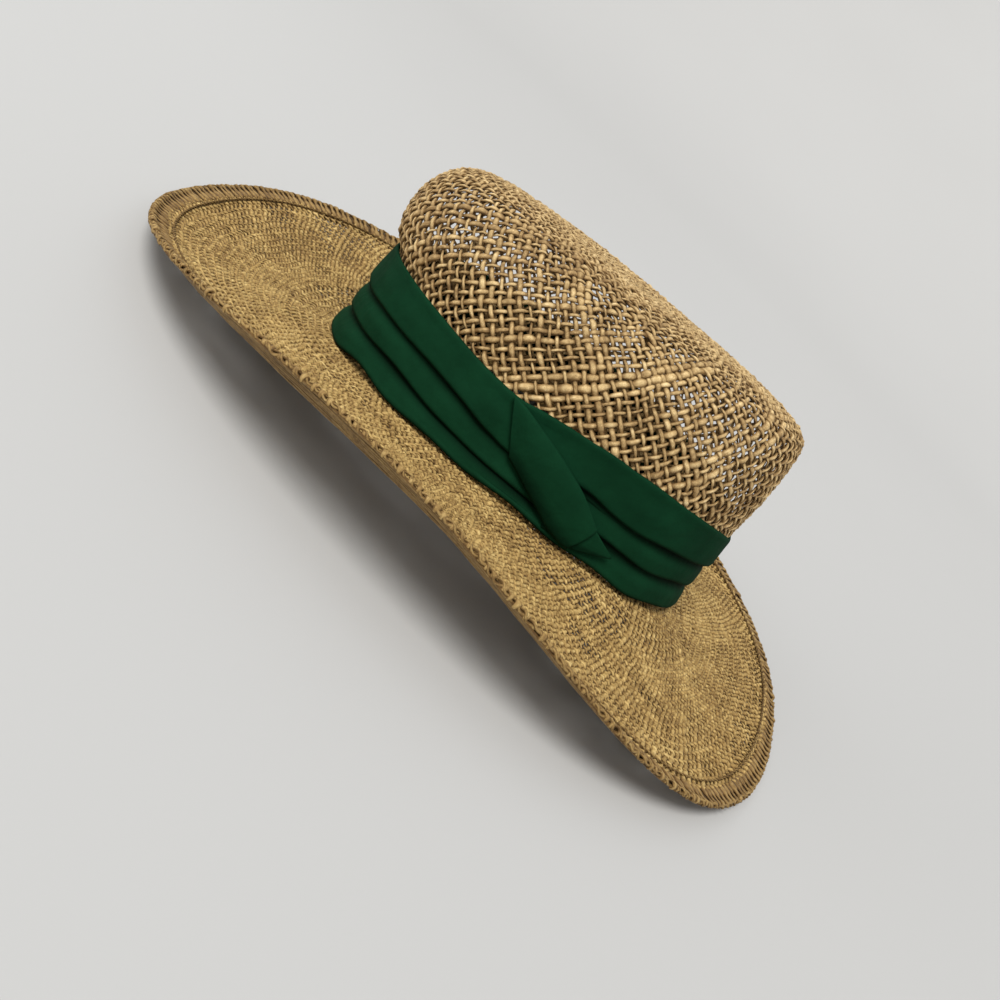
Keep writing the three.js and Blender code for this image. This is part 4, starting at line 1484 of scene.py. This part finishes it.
def photo_axes():
    """The photograph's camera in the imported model's frame: place, right, up and back."""
    turn = np.array(HAT_TURN)
    azimuth, elevation = PHOTO_AZIMUTH, PHOTO_ELEVATION
    flat = math.cos(elevation)
    back = np.array((math.sin(azimuth) * flat, -math.cos(azimuth) * flat, math.sin(elevation)))
    right = np.array((math.cos(azimuth), math.sin(azimuth), 0.0))
    up = np.cross(back, right)
    place = to_row(AIM_POINT + back * PHOTO_DISTANCE)
    rolled_right = right * math.cos(PHOTO_ROLL) + up * math.sin(PHOTO_ROLL)
    rolled_up = up * math.cos(PHOTO_ROLL) - right * math.sin(PHOTO_ROLL)
    return place, turn @ rolled_right, turn @ rolled_up, turn @ back


def add_camera():
    """Camera at the photograph's angle, with the hat where it stands in the photograph."""
    place, right, up, back = photo_axes()
    data = bpy.data.cameras.new("photo_camera")
    data.sensor_width = SENSOR_WIDTH
    data.lens = PHOTO_FOCUS / PHOTO_SIZE * SENSOR_WIDTH
    data.clip_start, data.clip_end = CAMERA_CLIP
    aim = Vector((AIM_PIXEL[0] - PHOTO_SIZE / 2, PHOTO_SIZE / 2 - AIM_PIXEL[1], -PHOTO_FOCUS))
    swing = aim.rotation_difference(Vector((0, 0, -1))).to_matrix()
    axes = Matrix((right, up, back)).transposed() @ swing
    camera = add_object("photo_camera", data)
    camera.matrix_world = Matrix.Translation(place) @ axes.to_4x4()
    bpy.context.scene.camera = camera


# Round floor: flat in the middle, then bending up into a gentle slope on every side, in metres.
FLOOR_FLAT = 1.2
FLOOR_BEND_RADIUS = 3.0
FLOOR_SLOPE = math.radians(30)
FLOOR_RUN_UP = 8.0
FLOOR_SEGMENTS = 96
FLOOR_FLAT_RINGS = (0.3, 0.7, 1.0)
FLOOR_BEND_STEPS = 8


def swept_floor():
    """A flat round floor that rises gently on every side, so that no horizon shows."""
    section = [(share * FLOOR_FLAT, 0.0) for share in FLOOR_FLAT_RINGS]
    for bend in np.linspace(0, FLOOR_SLOPE, FLOOR_BEND_STEPS + 1)[1:]:
        reach = FLOOR_BEND_RADIUS * math.sin(bend)
        section.append((FLOOR_FLAT + reach, FLOOR_BEND_RADIUS * (1 - math.cos(bend))))
    radius, height = section[-1]
    out, up = FLOOR_RUN_UP * math.cos(FLOOR_SLOPE), FLOOR_RUN_UP * math.sin(FLOOR_SLOPE)
    section.append((radius + out, height + up))
    points = [(0.0, 0.0, 0.0)]
    angles = np.linspace(0, TURN, FLOOR_SEGMENTS, endpoint=False)
    for radius, height in section:
        points += [(radius * math.cos(a), radius * math.sin(a), height) for a in angles]
    faces = []
    for k in range(FLOOR_SEGMENTS):
        m = (k + 1) % FLOOR_SEGMENTS
        faces.append((0, 1 + k, 1 + m))
        for ring in range(len(section) - 1):
            low = 1 + ring * FLOOR_SEGMENTS
            high = low + FLOOR_SEGMENTS
            faces.append((low + k, high + k, high + m, low + m))
    mesh = bpy.data.meshes.new("floor")
    mesh.from_pydata(points, [], faces)
    mesh.shade_smooth()
    return mesh


# The soft main light, far off, and a weaker one close by: where they come from, how wide they
# look, how strong they are and their colours. Then the room's own even light.
KEY_FROM = (0.52, -0.12, 0.85)
KEY_SPREAD = math.radians(28)
KEY_STRENGTH = 2.5
KEY_COLOUR = (1.0, 0.98, 0.95)
FILL_FROM = Vector((0.35, -1.1, 0.75))
FILL_AIM = Vector((0, 0, 0.05))
FILL_SIZE = 1.2
FILL_POWER = 5.0
FILL_COLOUR = (0.95, 0.98, 1.0)
ROOM_COLOUR = (0.9, 0.91, 0.92, 1)
ROOM_STRENGTH = 0.55


def add_light(name, kind, direction, **settings):
    """A soft light that shines from a direction."""
    data = bpy.data.lights.new(name, kind)
    for setting, value in settings.items():
        setattr(data, setting, value)
    light = add_object(name, data)
    light.rotation_mode = "QUATERNION"
    light.rotation_quaternion = Vector(direction).to_track_quat("Z", "Y")
    return light


class SetStage(bpy.types.Operator):
    """Sets the pale floor, the soft lights and the camera"""

    bl_idname = "hat.set_stage"
    bl_label = "Set stage"

    def execute(self, context):
        colour = tuple(context.scene.hat_colours.floor)
        plain_object("floor", swept_floor(), floor_material(colour))
        add_camera()
        add_light("key_light", "SUN", KEY_FROM, angle=KEY_SPREAD, energy=KEY_STRENGTH, color=KEY_COLOUR)
        square = {"shape": "SQUARE", "size": FILL_SIZE, "energy": FILL_POWER, "color": FILL_COLOUR}
        add_light("fill_light", "AREA", FILL_FROM - FILL_AIM, **square).location = FILL_FROM
        world = bpy.data.worlds.new("pale_room")
        world.use_nodes = True
        background = world.node_tree.nodes["Background"].inputs
        background["Color"].default_value = ROOM_COLOUR
        background["Strength"].default_value = ROOM_STRENGTH
        context.scene.world = world
        context.scene.view_settings.view_transform = "Standard"
        return {"FINISHED"}


class HatPanel(bpy.types.Panel):
    """Lists the steps and sizes of the hat"""

    bl_idname = "VIEW3D_PT_straw_hat"
    bl_label = "Straw hat"
    bl_space_type = "VIEW_3D"
    bl_region_type = "UI"
    bl_category = "Straw hat"

    def draw(self, context):
        layout = self.layout
        for kind in GROUPS:
            group = getattr(context.scene, kind)
            box = layout.box()
            for name in group.__annotations__:
                box.prop(group, name)
        for operator in OPERATORS:
            layout.operator(operator.bl_idname)


GROUPS = {"hat_weave": HatWeave, "hat_hem": HatHem, "hat_band": HatBand, "hat_colours": HatColours}
OPERATORS = (WeaveCrown, WeaveBrim, BindHem, FoldBand, WrapBand, SetStage)


def register():
    """Adds the hat's groups of sizes, its operators and its panel to Blender."""
    for name, group in GROUPS.items():
        bpy.utils.register_class(group)
        setattr(bpy.types.Scene, name, PointerProperty(type=group))
    for operator in OPERATORS:
        bpy.utils.register_class(operator)
    bpy.utils.register_class(HatPanel)


def unregister():
    """Takes them away again."""
    bpy.utils.unregister_class(HatPanel)
    for operator in reversed(OPERATORS):
        bpy.utils.unregister_class(operator)
    for name, group in GROUPS.items():
        delattr(bpy.types.Scene, name)
        bpy.utils.unregister_class(group)


def main():
    """Makes the whole hat and its stage."""
    register()
    for operator in OPERATORS:
        group, name = operator.bl_idname.split(".")
        getattr(getattr(bpy.ops, group), name)()


if __name__ == "__main__":
    main()
